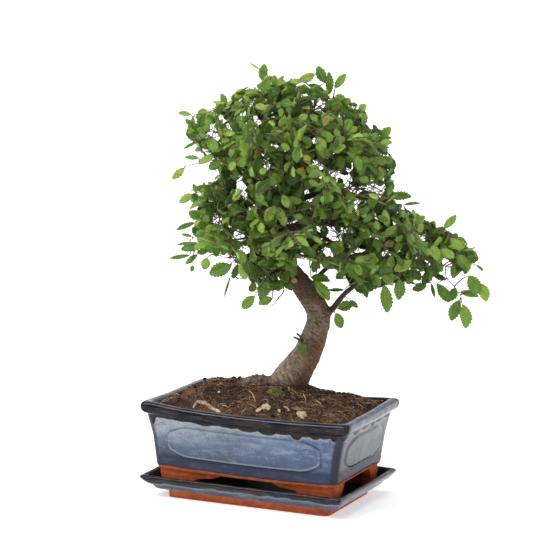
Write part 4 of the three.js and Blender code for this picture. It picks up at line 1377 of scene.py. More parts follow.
# Where that view looks right through the crown: place and radius
CROWN_GAPS = np.array([
    (-13, 338, 4), (42, 354, 4), (60, 345, 3), (1, 317, 3), (-7, 299, 4), (-53, 326, 4), (42, 301, 4),
    (56, 291, 5), (69, 291, 6), (-29, 282, 4), (35, 325, 3), (-26, 272, 3), (-30, 236, 4), (-50, 250, 4),
    (-44, 217, 4), (18, 245, 4), (33, 271, 4), (43, 242, 5), (57, 240, 8), (51, 222, 4), (-24, 223, 4),
    (75, 278, 5), (94, 278, 6), (94, 257, 3), (-35, 214, 4), (28, 211, 5), (76, 268, 3), (135, 236, 3),
    (143, 213, 3), (156, 214, 4), (131, 203, 3), (160, 196, 4), (79, 222, 3), (103, 222, 3),
], float)

# Single leaves that stand out at the crown's edge and on its front: place of the base and of the tip in that
# view, how far back they are, width for their length, and tint
SINGLE_LEAVES = [
    (172, 176, 177, 154, -8, 0.46, 0.68), (170, 180, 162, 161, -2, 0.46, 0.58),
    (170, 187, 187, 184, -2, 0.4, 0.66), (177, 202, 187, 186, -6, 0.6, 0.6),
    (189, 195, 194, 179, -4, 0.5, 0.76), (148, 194, 161, 178, -8, 0.5, 0.5),
    (166, 191, 161, 179, -4, 0.62, 0.52), (145, 202, 158, 199, -2, 0.45, 0.3),
    (140, 193, 127, 189, 0, 0.5, 0.35), (144, 195, 147, 182, 0, 0.25, 0.45),
    (145, 206, 135, 194, -4, 0.55, 0.3), (114, 198, 116, 179, -10, 0.6, 0.52),
    (100, 193, 104, 168, -14, 0.42, 0.6), (83, 190, 87, 181, 4, 0.45, 0.35), (60, 171, 74, 176, 0, 0.6, 0.5),
    (58, 167, 65, 153, 2, 0.55, 0.6), (71, 179, 78, 172, 0, 0.45, 0.5), (65, 188, 51, 188, -16, 0.25, 0.4),
    (66, 206, 58, 198, -6, 0.5, 0.55), (59, 198, 69, 199, -6, 0.15, 0.3), (79, 201, 69, 195, -4, 0.6, 0.45),
    (81, 201, 79, 191, -4, 0.6, 0.5), (10, 197, 5, 186, -6, 0.5, 0.4), (9, 195, 20, 188, -6, 0.55, 0.4),
    (68, 216, 61, 209, -8, 0.8, 0.6), (171, 214, 186, 218, -6, 0.5, 0.35), (184, 212, 192, 206, 0, 0.25, 0.6),
    (164, 215, 164, 199, -10, 0.6, 0.45), (143, 216, 155, 208, -12, 0.55, 0.5),
    (87, 273, 77, 272, -10, 0.85, 0.4), (89, 276, 97, 264, -6, 0.4, 0.45), (108, 286, 101, 273, 0, 0.5, 0.5),
    (99, 260, 103, 244, -26, 0.4, 0.85), (88, 247, 95, 240, -26, 0.7, 0.82),
    (111, 245, 100, 238, -28, 0.5, 0.76), (125, 215, 109, 206, -24, 0.5, 0.78),
    (76, 214, 95, 195, -26, 0.45, 0.6), (129, 245, 135, 255, -18, 0.6, 0.75),
    (131, 239, 133, 249, -22, 0.5, 0.8), (162, 220, 144, 223, -14, 0.25, 0.72),
    (154, 244, 165, 256, -4, 0.45, 0.74), (104, 273, 125, 272, 4, 0.38, 0.6),
    (118, 265, 133, 268, 6, 0.25, 0.6), (-73, 343, -85, 345, 0, 0.42, 0.7),
    (-67, 321, -78, 327, 4, 0.6, 0.36), (-67, 320, -80, 313, 2, 0.22, 0.45),
    (-66, 305, -79, 306, 4, 0.3, 0.7), (-79, 296, -90, 286, 0, 0.42, 0.74),
    (-52, 307, -67, 300, -6, 0.4, 0.74), (-46, 302, -57, 295, -8, 0.6, 0.5),
    (-59, 321, -47, 310, -14, 0.5, 0.76), (-72, 273, -84, 265, 0, 0.42, 0.76),
    (-68, 274, -71, 282, 2, 0.5, 0.7), (-58, 273, -61, 282, -4, 0.5, 0.66),
    (-58, 269, -75, 261, -8, 0.3, 0.66), (-64, 251, -75, 257, -2, 0.7, 0.5),
    (-69, 247, -87, 242, 0, 0.28, 0.35), (-65, 235, -72, 243, -2, 0.7, 0.36),
    (-72, 235, -82, 237, 2, 0.3, 0.66), (-74, 230, -86, 227, 4, 0.2, 0.5),
    (-64, 227, -82, 224, -6, 0.45, 0.45), (-74, 218, -92, 215, 0, 0.2, 0.5),
    (-67, 219, -78, 210, 0, 0.35, 0.6), (-58, 216, -61, 205, -6, 0.7, 0.76),
    (-72, 209, -72, 203, 2, 0.7, 0.7), (-36, 209, -56, 201, -16, 0.5, 0.5),
    (-40, 236, -44, 218, -18, 0.55, 0.52), (-30, 210, -35, 197, -12, 0.45, 0.4),
    (-25, 214, -25, 196, -16, 0.5, 0.8), (-14, 209, -16, 196, -14, 0.8, 0.4),
    (-14, 193, -20, 186, -12, 0.7, 0.45), (-4, 199, -10, 178, -20, 0.5, 0.5),
    (-15, 182, -27, 170, -12, 0.5, 0.62), (1, 180, -12, 175, -16, 0.55, 0.62),
    (-37, 200, -43, 180, -4, 0.1, 0.4), (35, 199, 52, 195, -22, 0.62, 0.6),
    (38, 195, 53, 180, -26, 0.5, 0.66), (37, 216, 38, 203, -14, 0.65, 0.42),
    (52, 219, 50, 206, -10, 0.85, 0.35), (3, 262, -6, 248, -42, 0.55, 0.74), (5, 261, 12, 244, -42, 0.5, 0.8),
    (-27, 276, -35, 266, -34, 0.45, 0.9), (21, 329, 24, 320, -30, 0.8, 0.93),
    (28, 296, 20, 284, -38, 0.6, 0.97), (28, 307, 32, 299, -36, 0.7, 0.95),
    (-15, 319, -26, 325, -36, 0.8, 0.5), (38, 313, 51, 305, -34, 0.55, 0.76),
    (126, 207, 134, 197.5, -4, 0.6, 0.35), (140, 209, 146, 201, -6, 0.6, 0.4),
    (152, 214, 149, 204, 0, 0.6, 0.45), (59.6, 292.7, 68, 293.6, -6, 0.7, 0.25),
    (69, 292.7, 76.8, 292.2, -2, 0.8, 0.3), (49, 287, 57, 284.6, -8, 0.7, 0.4),
    (75.5, 272.5, 85.5, 271, -10, 0.85, 0.42), (58.6, 288, 62.5, 281.6, -4, 0.7, 0.2),
    (69, 284, 79.5, 282, 0, 0.6, 0.35), (46, 246, 46.5, 235, -12, 0.7, 0.3),
    (56, 247, 61.5, 239.5, -6, 0.6, 0.4), (34, 240, 41, 231.5, -14, 0.5, 0.5),
    (96, 305, 83, 299, -12, 0.7, 0.76), (95, 299, 97, 286, -10, 0.55, 0.84),
    (-13, 384, -21, 390, 6, 0.22, 0.86), (-11, 375, -8, 389, 6, 0.5, 0.7), (46, 373, 39, 387, 6, 0.5, 0.45),
    (50, 363, 50, 382, 8, 0.38, 0.55), (55, 368, 64, 382, 8, 0.42, 0.62), (22, 374, 37, 380, 4, 0.45, 0.84),
    (46, 364, 32, 372, 4, 0.4, 0.3), (77, 348, 83, 354, 6, 0.8, 0.76), (96, 324, 105, 334, 4, 0.6, 0.66),
    (99, 305, 111, 300, 4, 0.6, 0.35), (90, 322, 106, 325, 2, 0.4, 0.6), (-43, 352, -46, 363, 6, 0.6, 0.72),
    (-43, 354, -55, 355, 4, 0.3, 0.82), (-33, 356, -29, 367, 4, 0.6, 0.82),
    (-19, 364, -7, 362, -6, 0.35, 0.88), (2, 369, -2, 378, 6, 0.3, 0.8), (2, 369, 9, 379, 6, 0.35, 0.78),
    (17, 367, 17, 377, 4, 0.75, 0.35),
]

# Leafless twigs that show below and beside the leaves, in the same terms, with their thickness
BARE_SPURS = [
    (11, 188, 0, 172, 4, 0.9), (-4, 200, -30, 197, -8, 0.8), (157, 201, 171, 182, -4, 0.6),
    (90, 309, 102, 312, -6, 0.6), (132, 236, 149, 238, -10, 0.7), (41, 213, 62, 205, 2, 0.7),
    (56, 168, 70, 189, 12, 1.0), (84, 214, 94, 190, -6, 0.4), (-46, 305, -79, 297, 0, 0.6),
    (-48, 245, -74, 232, 2, 0.6), (-52, 262, -70, 272, 0, 0.6), (50, 247, 66, 233, 0, 0.7),
    (56, 280, 78, 279, -4, 0.7),
]

LEAF_SIZE = 12.8
LEAF_STALK = 1.7
LEAVES_APART = 3.2

# Where dry leaves gather, in that view: place and reach
DRY_PATCH = (40, 322, 34, 30)
SHOOT_STEPS = 9
SHOOT_LEAVES = 13

# Where along a shoot its side twigs stand
SIDE_TWIGS = (0.15, 0.3, 0.45, 0.6, 0.78)

# Filling: tries, how near another leaf may be, shortest and longest spray, length of spray for a leaf
FILL_TRIES = 9000
FILL_REACH = 6.99
SPRAY_SHORTEST, SPRAY_LONGEST = 5, 34
SPRAY_FOR_LEAF = 5.2
SPRAYS_TO_INDEX = 30
BARE_TWIGS = 280
CELL = 8.0


def seen(point):
    """Where a point of the tree's frame lies in the view that the outline is drawn in."""
    return np.array([point[0], point[2] * math.cos(SEEN_FROM) + point[1] * math.sin(SEEN_FROM)])


def unseen(across, height, y):
    """The point of the tree's frame at this place of the view and this far back."""
    return np.array([across, y, (height - y * math.sin(SEEN_FROM)) / math.cos(SEEN_FROM)])


def room_inside(place):
    """How far inside the crown's outline a place of the view is, negative outside."""
    start = CROWN_OUTLINE
    run = np.roll(start, -1, 0) - start
    off = place - start
    share = np.clip((off * run).sum(1) / (run * run).sum(1), 0, 1)
    gap = np.linalg.norm(off - run * share[:, None], axis=1).min()
    end_y = start[:, 1] + run[:, 1]
    crosses = (start[:, 1] > place[1]) != (end_y > place[1])
    with np.errstate(divide="ignore", invalid="ignore"):
        at = start[:, 0] + run[:, 0] * (place[1] - start[:, 1]) / run[:, 1]
    return gap if (crosses & (place[0] < at)).sum() % 2 else -gap


def blocks_gap(base, tip):
    """Whether a leaf would cover one of the gaps."""
    start, end = seen(base), seen(tip)
    for share, margin in ((0.3, 1.6), (0.65, 1.8), (1.0, 0.6)):
        off = CROWN_GAPS[:, :2] - (start + (end - start) * share)
        if (np.hypot(*off.T) < CROWN_GAPS[:, 2] + margin).any():
            return True
    return False


def scatter(first, second):
    """A fixed number from 0 to 1 for each pair."""
    wave = math.sin(first * 12.9898 + second * 78.233) * 43758.5453
    return wave - math.floor(wave)


def curve_at(keys, t):
    """Point and direction on the centripetal curve through the keys that the CAD's limbs follow."""
    keys = [np.array(key, float) for key in keys]
    at = min(int(t * (len(keys) - 1)), len(keys) - 2)
    local = t * (len(keys) - 1) - at
    before = keys[at - 1] if at else 2 * keys[0] - keys[1]
    after = keys[at + 2] if at + 2 < len(keys) else 2 * keys[-1] - keys[-2]
    b, c = keys[at], keys[at + 1]
    gaps = [max(1e-4, np.linalg.norm(q - p)) ** 0.5 for p, q in ((before, b), (b, c), (c, after))]
    t1 = (b - before) / gaps[0] - (c - before) / (gaps[0] + gaps[1]) + (c - b) / gaps[1]
    t2 = (c - b) / gaps[1] - (after - b) / (gaps[1] + gaps[2]) + (after - c) / gaps[2]
    t1, t2 = t1 * gaps[1], t2 * gaps[1]
    c2 = -3 * b + 3 * c - 2 * t1 - t2
    c3 = 2 * b - 2 * c + t1 + t2
    point = b + t1 * local + c2 * local ** 2 + c3 * local ** 3
    return point, unit(t1 + 2 * c2 * local + 3 * c3 * local ** 2)


def outward_facing(point, direction, more=0.0):
    """Upper side of the leaves here: up, away from the crown's axis, and to the nearer long side."""
    outward = (point - CROWN_AXIS) * (1, 1, 0)
    outward = outward / (np.linalg.norm(outward) + 1e-6)
    facing = 0.55 * UP + 0.5 * outward
    facing[1] += (0.75 if outward[1] > 0.3 else -0.75) * (0.3 + more)
    return squared_off(facing, direction)


def shoot_plan(b, k):
    """Start, direction, facing and length of a shoot, as the CAD model grows it."""
    route, _, shoots, rise = BRANCHES[b]
    point, tangent = curve_at(route, 1 - SHOOT_REACH * k / shoots)
    across = unit(np.cross(tangent, UP))
    side = 1 if (b + k) % 2 == 0 else -1
    if k == 0:
        direction = tangent + UP * rise
    else:
        direction = 0.45 * tangent + across * side * 0.5 * (1 + scatter(b, k))
        direction = direction + UP * (rise + 0.8 * (scatter(k, b + 7) - 0.2))
    direction = unit(direction)
    facing = outward_facing(point, direction, scatter(b + 3, k))
    length = SHOOT_LENGTH * (0.85 + 0.3 * scatter(b + 11, k))
    return point, direction, facing, length


def outer_share(point):
    """From 0 in the heart of the crown to 1 at its edge."""
    off = (point - CROWN_HEART) / CROWN_REACH
    return float(np.clip(np.linalg.norm(off), 0, 1.1))


def low_and_loose(point):
    """From 0 in the dome to 1 on the low outer parts, whose leaves are larger and hang."""
    across, height = seen(point)
    right = smoothstep(118, 160, across) * smoothstep(262, 240, height)
    return float(max(right, smoothstep(222, 188, height)))


def reach_at(room, place):
    """How near the next leaf may be here: leaves stand closer at the edge and on the low right side."""
    near_edge = smoothstep(18, 2, room)
    low_right = smoothstep(105, 125, place[0]) * smoothstep(265, 250, place[1])
    return FILL_REACH - float(max(1.8 * near_edge, 2.2 * low_right))


class Crown:
    """All foliage, one shape for each branch, with the places that twigs can grow from and leaves fill."""

    def __init__(self):
        self.shapes = [Shape() for _ in BRANCHES]
        self.nodes = []
        self.taken = {}
        self.tree = None

    def add_nodes(self, line, b):
        self.nodes.extend((tuple(point), b) for point in line)

    def index_nodes(self):
        self.tree = kdtree.KDTree(len(self.nodes))
        for index, (point, _) in enumerate(self.nodes):
            self.tree.insert(point, index)
        self.tree.balance()

    def nearest(self, point):
        where, index, gap = self.tree.find(tuple(point))
        return np.array(where), self.nodes[index][1], gap

    def cell(self, point):
        return tuple(int(math.floor(part / CELL)) for part in point)

    def leaf_near(self, point, reach):
        x, y, z = self.cell(point)
        steps = (-1, 0, 1)
        for cell in ((x + i, y + j, z + k) for i in steps for j in steps for k in steps):
            if any(math.dist(point, other) < reach for other in self.taken.get(cell, ())):
                return True
        return False

    def take(self, point):
        self.taken.setdefault(self.cell(point), []).append(tuple(point))

    def leafy_twig(self, b, line, facing, count, thick, tint, first=0.16):
        """A twig with leaves on alternate sides and one at its tip, as far as the outline lets it."""
        outside = [room_inside(seen(point)) < 0.5 for point in line[1:]]
        line = line[:1 + outside.index(True)] if True in outside else line
        if len(line) < 3:
            return
        put_twig(self.shapes[b], line, thick, 0.3)
        self.add_nodes(line, b)
        for k in range(count):
            s = first + (1 - first) * k / max(1, count - 1)
            self.twig_leaf(b, line, facing, s, k, k == count - 1, tint)

    def twig_leaf(self, b, line, facing, s, k, last, tint):
        """Leaf number k of a twig, at the share s of its line, if there is room for it."""
        point, direction = point_along(line, s)
        loose = low_and_loose(point)
        side = unit(np.cross(direction, facing))
        turn = (1 if k % 2 == 0 else -1) * (rng.uniform(-0.2, 0.2) if last else rng.uniform(0.6, 1.15))
        way = direction * math.cos(turn) + side * math.sin(turn) + facing * rng.uniform(-0.35, 0.55)
        way = unit(way - UP * (0.06 + 0.75 * loose * rng.random()))
        leaf_facing = facing + direction * rng.uniform(-0.5, 0.5) + jitter(0.85)
        length = LEAF_SIZE * (1 + 0.28 * loose) * rng.uniform(0.72, 1.22) * (0.85 if s > 0.85 else 1)
        base = point + way * LEAF_STALK
        tip = base + way * length
        middle = (base + tip) / 2
        if room_inside(seen(tip)) < -0.8 or blocks_gap(base, tip) or self.leaf_near(middle, LEAVES_APART):
            return
        stalk = [point, point + way * 0.9 - UP * 0.1, base + way * 0.5]
        put_twig(self.shapes[b], stalk, 0.32, 0.24, 3, (0.7, 1.0))
        colour = tint + 0.16 * (s - 0.5) + rng.gauss(-0.03, 0.19)
        # leaves on the left are lighter, as painted light
        colour += 0.05 * max(-1.0, min(1.0, (20 - point[0]) / 70))
        brown = 0.008 + 0.09 * hill(*seen(point), *DRY_PATCH)
        dry = rng.uniform(0.6, 1.0) if rng.random() < brown else 0.0
        colour = 1.0 if rng.random() < 0.003 else min(0.75, max(0.0, colour))
        length_left = length * (1 - 0.3 * dry)
        put_leaf(self.shapes[b], base, way, leaf_facing, length_left, colour, rng.uniform(0.46, 0.66), dry)
        self.take(base + way * length * 0.5)

    def grow_single_leaf(self, plan):
        """A leaf at its own place, on a thin twig from the nearest wood."""
        across, height, tip_across, tip_height, y, wide, tint = plan
        base, tip = unseen(across, height, y), unseen(tip_across, tip_height, y + rng.uniform(-3, 3))
        start, b, gap = self.nearest(base)
        middle = (start + base) / 2 + jitter(0.08) * gap + UP * 0.05 * gap
        line = spline([start, middle, base], 4)
        put_twig(self.shapes[b], line, 0.75, 0.36, 5, (0.0, 0.3))
        self.add_nodes(line, b)
        way = tip - base
        facing = np.array([0.15, -0.85, 0.45]) + jitter(0.35)
        put_leaf(self.shapes[b], base, way, facing, np.linalg.norm(way), tint, wide)
        self.take((base + tip) / 2)

    def grow_bare_spur(self, plan):
        """A dark leafless twig at its own place, with a swelling half way."""
        across, height, tip_across, tip_height, y, thick = plan
        base, tip = unseen(across, height, y), unseen(tip_across, tip_height, y + 2)
        start, b, gap = self.nearest(base)
        line = spline([start, base, (base + tip) / 2 + jitter(0.6), tip], 5)
        radii = np.linspace(thick, 0.45 * thick, len(line))
        radii[len(line) * 2 // 3] *= 1.5
        points, faces, _ = tube(line, radii, 6)
        self.shapes[b].add(to_row(points), faces, 1, young=0.0)
        self.add_nodes(line, b)

    def grow_shoot(self, b, k):
        """A shoot of the CAD model with its leaves and five leafy side twigs."""
        start, direction, facing, length = shoot_plan(b, k)
        line = sagging_line(start, direction, length, SHOOT_SAG, SHOOT_STEPS, 0.06)
        inside = [room_inside(seen(point)) > 2 for point in line]
        keep = inside.index(False, 1) if False in inside[1:] else len(line)
        line = line[:max(3, keep)]
        share = (len(line) - 1) / SHOOT_STEPS
        # shoots deep in the crown get a darker tint, as painted shade
        tint = 0.16 + 0.42 * outer_share(line[-1])
        self.leafy_twig(b, line, facing, int(SHOOT_LEAVES * share), 0.95, tint)
        side = unit(np.cross(direction, facing))
        for number, s in enumerate(SIDE_TWIGS):
            sign = 1 if (number + b) % 2 == 0 else -1
            out = direction * rng.uniform(0.4, 0.9) + side * sign * rng.uniform(0.6, 1.0)
            out = unit(out + facing * rng.uniform(-0.6, 0.6) + jitter(0.15))
            point, _ = point_along(line, s)
            twig = sagging_line(point, out, rng.uniform(16, 28), 0.08, 5, 0.12)
            twig_facing = squared_off(unit(facing + jitter(0.6)), out)
            self.leafy_twig(b, twig, twig_facing, rng.choice([3, 4, 5]), 0.55, tint - 0.04, 0.35)

    def fill(self):
        """Grows sprays from the wood into every part of the outline that has no leaf near."""
        low, high = CROWN_OUTLINE.min(0), CROWN_OUTLINE.max(0)
        grown = 0
        for _ in range(FILL_TRIES):
            place = low + (high - low) * (rng.random(), rng.random())
            room = room_inside(place)
            if room < 2:
                continue
            half_depth = min(CROWN_REACH[1], 15 + 1.15 * room)
            target = unseen(*place, CROWN_HEART[1] + half_depth * rng.uniform(-1, 1))
            if self.leaf_near(target, reach_at(room, place)):
                continue
            start, b, gap = self.nearest(target)
            if not SPRAY_SHORTEST < gap < SPRAY_LONGEST:
                continue
            direction = (target - start) / gap
            line = sagging_line(start, direction, gap, 0.05, 4, 0.10)
            facing = unit(outward_facing(start, direction, rng.random()) + jitter(0.45))
            # sprays deep in the crown get a darker tint, as painted shade
            tint = 0.10 + 0.48 * outer_share(target)
            count = max(2, int(gap / SPRAY_FOR_LEAF))
            self.leafy_twig(b, line, facing, count, 0.3 + 0.012 * gap, tint, 0.35)
            grown += 1
            if grown % SPRAYS_TO_INDEX == 0:
                self.index_nodes()

    def grow_bare_twigs(self):
        """Thin dead and leafless twigs through the gaps."""
        for _ in range(BARE_TWIGS):
            point, b = rng.choice(self.nodes)
            point = np.array(point)
            out = unit(jitter(1.0) + 0.6 * unit(point - (25, 12, 250)))
            line = sagging_line(point, out, rng.uniform(10, 30), rng.uniform(-0.15, 0.1), 5, 0.3)
            in_gap = blocks_gap(line[2], line[5]) and rng.random() < 0.7
            if not in_gap and min(room_inside(seen(place)) for place in line) > 1:
                put_twig(self.shapes[b], line, 0.45, 0.2, 4, (0.0, 0.2))


crown = Crown()
for b, (route, *_) in enumerate(BRANCHES):
    crown.add_nodes([curve_at(route, t)[0] for t in np.linspace(0.12, 1, 24)], b)
for b, (_, _, shoots, _) in enumerate(BRANCHES):
    for k in range(shoots):
        crown.grow_shoot(b, k)
crown.index_nodes()
for plan in BARE_SPURS:
    crown.grow_bare_spur(plan)
crown.index_nodes()
for plan in SINGLE_LEAVES:
    crown.grow_single_leaf(plan)
crown.index_nodes()
crown.fill()
crown.grow_bare_twigs()
first_shoot = 1
for b, (_, _, shoots, _) in enumerate(BRANCHES):
    nodes = [f"shoot_{number:02d}" for number in range(first_shoot, first_shoot + shoots)]
    first_shoot += shoots
    settle(build(f"leaves_of_branch_{b + 1:02d}", crown.shapes[b], [LEAF, TWIG]), "foliage", *nodes)


# Small things on the trunk and the soil

def trunk_sprout():
    """Young shoot low on the trunk, with two dry stubs beside it."""
    shape = Shape()
    twig = sagging_line(np.array([32.0, 15.0, 138.0]), unit(np.array([-0.12, -0.85, 0.2])), 9, 0.05, 4)
    put_twig(shape, twig, 0.9, 0.5)
    facing = unit(np.array([-0.1, -0.8, 0.6]))
    put_leaf(shape, twig[-1] + (0, -1, 1), np.array([-0.42, -0.25, -1.0]), facing, 11.5, 0.45)
    put_leaf(shape, twig[-2], np.array([-0.7, -0.3, -0.35]), facing, 8.0, 0.28, 0.45)
    put_leaf(shape, twig[-2], np.array([0.3, -0.4, 0.5]), facing, 6.5, 0.34)
    for base, tip in (((29, 16, 141), (23.3, 11, 148)), ((28, 15, 139), (20.5, 10, 145))):
        line = spline([base, (np.array(base) + tip) / 2 + (0, 0, 0.8), tip], 3)
        put_twig(shape, line, 1.3, 0.95, 6, (0, 0))
    return shape


settle(build("sprout_and_stubs", trunk_sprout(), [LEAF, TWIG]), "foliage", "trunk_sprout")


def soil_point(across, height):
    """The point of the soil, in the tree's frame, that is seen at this place of the crown's view."""
    for y in np.arange(-90, 60, 0.5):
        row = across * TREE_X + y * TREE_Y
        if abs(row[0]) < SOIL_HALF[0] and abs(row[1]) < SOIL_HALF[1]:
            point = np.array([across, y, ground(row[0], row[1])])
            if seen(point)[1] > height:
                return point
    raise ValueError("no soil is seen there")


def soil_leaf(shape, plan):
    """A dry crumpled leaf that leans on the soil between two places of the view."""
    across, height, tip_across, tip_height, wide, tint, seed = plan
    low = soil_point((across + tip_across) / 2, min(height, tip_height) - 1.5)
    base, tip = unseen(across, height, low[1] - 1), unseen(tip_across, tip_height, low[1] + 1)
    way = unit(tip - base)
    facing = squared_off(np.array([0.1, -0.85, 0.5]), way)
    length = np.linalg.norm(tip - base)
    points, numbers = leaf_points(LARGE_LEAF, length, length * wide, 0.35, 0.08, 0.5)
    crumple = lumps(points * (1, 1, 0), 3.4, 2, seed)
    points[:, 1] *= 1 + 0.45 * crumple
    points[:, 2] += 1.3 * crumple
    shape.add(put_points(points, base, way, facing), LARGE_LEAF.faces, tint=tint, **numbers)


# Fallen leaves: place of the base and of the tip in the crown's view, width for their length, tint, seed
FALLEN_LEFT = [(-8.6, 83.4, 0.4, 82.2, 0.68, 0.9, 4.0), (-13.2, 78.8, -7.4, 83.4, 0.42, 0.5, 5.0)]
FALLEN_RIGHT = [(22.6, 79.4, 33.4, 75.4, 0.52, 0.8, 6.0), (18.6, 83.0, 30.4, 81.6, 0.28, -0.1, 9.0)]

for side, node, plans in (("left", "fallen_leaf_1", FALLEN_LEFT), ("right", "fallen_leaf_2", FALLEN_RIGHT)):
    fallen = Shape()
    for plan in plans:
        soil_leaf(fallen, plan)
    settle(build(f"fallen_leaf_{side}", fallen, [DRY_LEAF]), "dry_leaf", node)

# Straws and bits on the soil, in the same view: both ends, thickness, tint
STRAWS = [
    (-20.0, 95.4, -13.4, 86.0, 0.50, 0.30), (10.4, 100.8, 27.0, 96.4, 0.34, 0.38),
    (-43.5, 82.0, -37.6, 80.0, 0.5, 0.3), (-37.6, 80.0, -32.0, 85.0, 0.42, 0.26),
    (29.3, 93.0, 31.6, 87.8, 0.55, 0.34), (-19.6, 84.8, -8.8, 78.4, 0.3, 0.2),
    (-33.0, 87.0, -22.0, 82.5, 0.3, 0.14), (-60.0, 90.0, -38.0, 88.0, 0.3, 0.10),
    (40.0, 88.5, 47.0, 83.0, 0.45, 0.3), (11.6, 82.6, 17.4, 79.2, 0.75, 0.32),
    (6.8, 79.8, 8.6, 76.2, 0.95, 0.36), (15.6, 98.4, 16.8, 95.2, 0.7, 0.36),
]
PERLITE = (-46.8, 93.4, 1.15)
STRAW_TAPER = np.array([0.5, 0.8, 1, 1.1, 1.1, 1, 0.9, 0.7, 0.4])


def strewn_bits():
    """Straws that lie on the peat, and a white grain of perlite."""
    shape = Shape()
    for across, height, tip_across, tip_height, thick, tint in STRAWS:
        start, end = soil_point(across, height), soil_point(tip_across, tip_height)
        middle = (start + end) / 2
        row = to_row(middle)
        middle[2] = max(middle[2], ground(row[0], row[1]))
        line = spline([start, middle + (0.3, 0, 0.7), end], 4) + (0, 0, 0.3 + thick * 0.5)
        points, faces, _ = tube(line, thick * STRAW_TAPER, 6, 0.3, tint)
        shape.add(to_row(points), faces, tint=tint)
    across, height, size = PERLITE
    points, faces = lump_points(size, 5.0, True)
    shape.add(points * (1, 1.2, 1.4) + to_row(soil_point(across, height) + (0, 0, 0.5)), faces, tint=0.7)
    return shape


settle(build("straws_and_perlite", strewn_bits(), [PEAT]), "peat")

# Along the loose root: x, y, height above the soil, radius
CURLED_ROOT = [(-54, -49, -1.4, 1.2), (-50, -47, 2.2, 1.7), (-43, -47, 2.0, 1.9), (-34, -49, 0.2, 1.8),
               (-26.5, -50, -0.8, 1.6)]


def curled_root():
    """Loose pale root that arches over the soil at the left."""
    line = spline([(x, y, float(soil_height(x, y)) + lift, radius) for x, y, lift, radius in CURLED_ROOT], 8)
    points, faces, along = tube(line[:, :3], line[:, 3], 14, 0.6, 2.0)
    shape = Shape()
    shape.add(points, faces, along=along / along.max())
    return shape


settle(build("curled_pale_root", curled_root(), [PALE_ROOT]), "bark", "curled_root")

MOSS_AT = (13.6, -18.0)
MOSS_REACH = 5.6
MOSS_THICK = 4.6
MOSS_TUFTS = 1500


def moss_cushion():
    """A ragged cushion of moss: a low lumpy dome under small pointed tufts, some brown."""
    shape = Shape()
    made = bmesh.new()
    bmesh.ops.create_uvsphere(made, u_segments=36, v_segments=18, radius=1.0)
    points, faces = drawn(made)
    firsts = [face.index(min(face)) for face in faces]
    faces = sorted(face[first:] + face[:first] for first, face in zip(firsts, faces))
    spread = (1 + 0.8 * lumps(points * (1, 1, 0) * 3, 2.0, 2, 17.0)) * 0.8
    x = MOSS_AT[0] + points[:, 0] * MOSS_REACH * spread
    y = MOSS_AT[1] + points[:, 1] * MOSS_REACH * spread
    z = soil_height(x, y) + 0.2 + (points[:, 2] + 1) / 2 * MOSS_THICK * 0.5
    dome = np.column_stack([x, y, z])
    dome[:, 2] += 1.5 * lumps(dome, 2.6, 2, 7.0) * (points[:, 2] > 0)
    shape.add(dome, faces, tint=0.1)
    for _ in range(MOSS_TUFTS):
        u, v = rng.gauss(0, 0.52), rng.gauss(0, 0.52)
        off = u * u + v * v
        reach = min(1.0, off)
        x, y = MOSS_AT[0] + u * MOSS_REACH, MOSS_AT[1] + v * MOSS_REACH
        patch = noise.noise(Vector((x * 0.45, y * 0.45, 3.0)))
        if patch < -0.12 or off > 2.2 * rng.random() + 0.3:
            continue
        base = np.array([x, y, float(soil_height(x, y)) + 0.3 + MOSS_THICK * 0.6 * math.sqrt(1 - reach)])
        way = unit(np.array([u * 0.7, v * 0.7, 1.0]) + jitter(0.7))
        line = [base, base + way * 0.8, base + way * rng.uniform(1.2, 3.4)]
        points, faces, _ = tube(line, [0.28, 0.22, 0.05], 4)
        shape.add(points, faces, tint=rng.uniform(0.0, 1.0) * (0.5 + 0.5 * reach) + 0.35 * patch)
    return shape


settle(build("moss_tufts", moss_cushion(), [MOSS]), "moss", "moss_cushion")


# Stage, light and camera, in metres

FLOOR_HALF = 16.0
WALL_FRONT = -4.0
WALL_TALL = 2.4
LIT_MIDDLE = (0.03, 0.0, 0.2)

# Name, place, size and power of each lamp
LAMPS = [
    ("key", (-0.9, -1.3, 1.7), (0.9, 0.9), 46), ("top", (0.1, 0.3, 1.9), (1.4, 1.4), 25),
    ("fill", (1.6, -0.9, 0.8), (1.2, 1.4), 8),
]
CAMERA = {"roll": 0.54, "aside": 4.3, "height": 202.4, "distance": 2300.0, "focal_px": 2550.0,
          "image_px": 553.0, "sensor": 36.0}


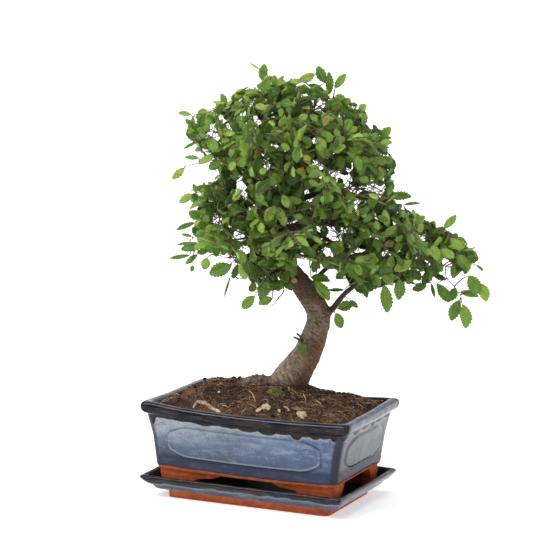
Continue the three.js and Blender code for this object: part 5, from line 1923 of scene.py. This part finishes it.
def stage():
    """Floor that glows white further out, with low white walls that hide the horizon."""
    g = Graph("studio_floor")
    paper = g.mix(g.noise(0.004, 2.0), (0.86, 0.86, 0.86), (0.89, 0.89, 0.89))
    far = g.node("VectorMath", {0: g.place(0.001)}, operation="LENGTH").outputs["Value"]
    glow = g.between(far, 0.5, 2.5, 0.44, 0.8)
    mesh = bpy.data.meshes.new("studio_floor")
    corners = [(-FLOOR_HALF, -FLOOR_HALF), (FLOOR_HALF, -FLOOR_HALF), (FLOOR_HALF, WALL_FRONT),
               (FLOOR_HALF, FLOOR_HALF), (-FLOOR_HALF, FLOOR_HALF), (-FLOOR_HALF, WALL_FRONT)]
    points = [(x, y, z) for z in (0, WALL_TALL) for x, y in corners]
    walls = [(side, side + 1, side + 7, side + 6) for side in (2, 3, 4)]
    mesh.from_pydata(points, [], [(0, 1, 2, 3, 4, 5), *walls])
    mesh.materials.append(g.finish(paper, 0.8, Emission_Color=(1.0, 1.0, 1.0), Emission_Strength=glow))
    add_object("studio_floor", mesh)


def softbox(name, place, size, power):
    light = bpy.data.lights.new(name, "AREA")
    light.shape = "RECTANGLE"
    light.size, light.size_y = size
    light.energy = power
    box = add_object(name, light)
    box.location = place
    box.rotation_mode = "QUATERNION"
    box.rotation_quaternion = (Vector(LIT_MIDDLE) - Vector(place)).to_track_quat("-Z", "Y")


def studio_sky():
    """White all round and overhead, dimmer in front of the pot, where the room behind the camera is dark."""
    g = Graph("studio", "worlds")
    where = g.node("TexCoord").outputs["Generated"]
    toward = {0: where, 1: (0.40, -0.88, -0.25)}
    frontness = g.node("VectorMath", toward, operation="DOT_PRODUCT").outputs["Value"]
    strength = g.between(frontness, 0.0, 0.75, 0.52, 0.12)
    glow = g.node("Background", {"Color": (1, 1, 1), "Strength": strength})
    g.node("OutputWorld", {0: glow.outputs[0]})
    bpy.context.scene.world = g.owner


def camera():
    azimuth, elevation, roll = map(math.radians, (VIEW_AZIMUTH, VIEW_ELEVATION, CAMERA["roll"]))
    back = Vector((math.sin(azimuth) * math.cos(elevation), -math.cos(azimuth) * math.cos(elevation),
                   math.sin(elevation)))
    level = Vector((math.cos(azimuth), math.sin(azimuth), 0))
    upright = back.cross(level)
    right = level * math.cos(roll) + upright * math.sin(roll)
    up = upright * math.cos(roll) - level * math.sin(roll)
    target = Vector((0, 0, CAMERA["height"])) + right * CAMERA["aside"]
    lens = bpy.data.cameras.new("camera")
    lens.sensor_width = CAMERA["sensor"]
    lens.lens = CAMERA["focal_px"] / CAMERA["image_px"] * CAMERA["sensor"]
    lens.clip_start, lens.clip_end = 0.05, 50
    eye = add_object("camera", lens)
    rotation = Matrix((right, up, back)).transposed()
    eye.matrix_world = Matrix.Translation((target + back * CAMERA["distance"]) * MM) @ rotation.to_4x4()
    bpy.context.scene.camera = eye


stage()
for lamp in LAMPS:
    softbox(*lamp)
camera()
studio_sky()
bpy.context.scene.view_settings.view_transform = "Standard"
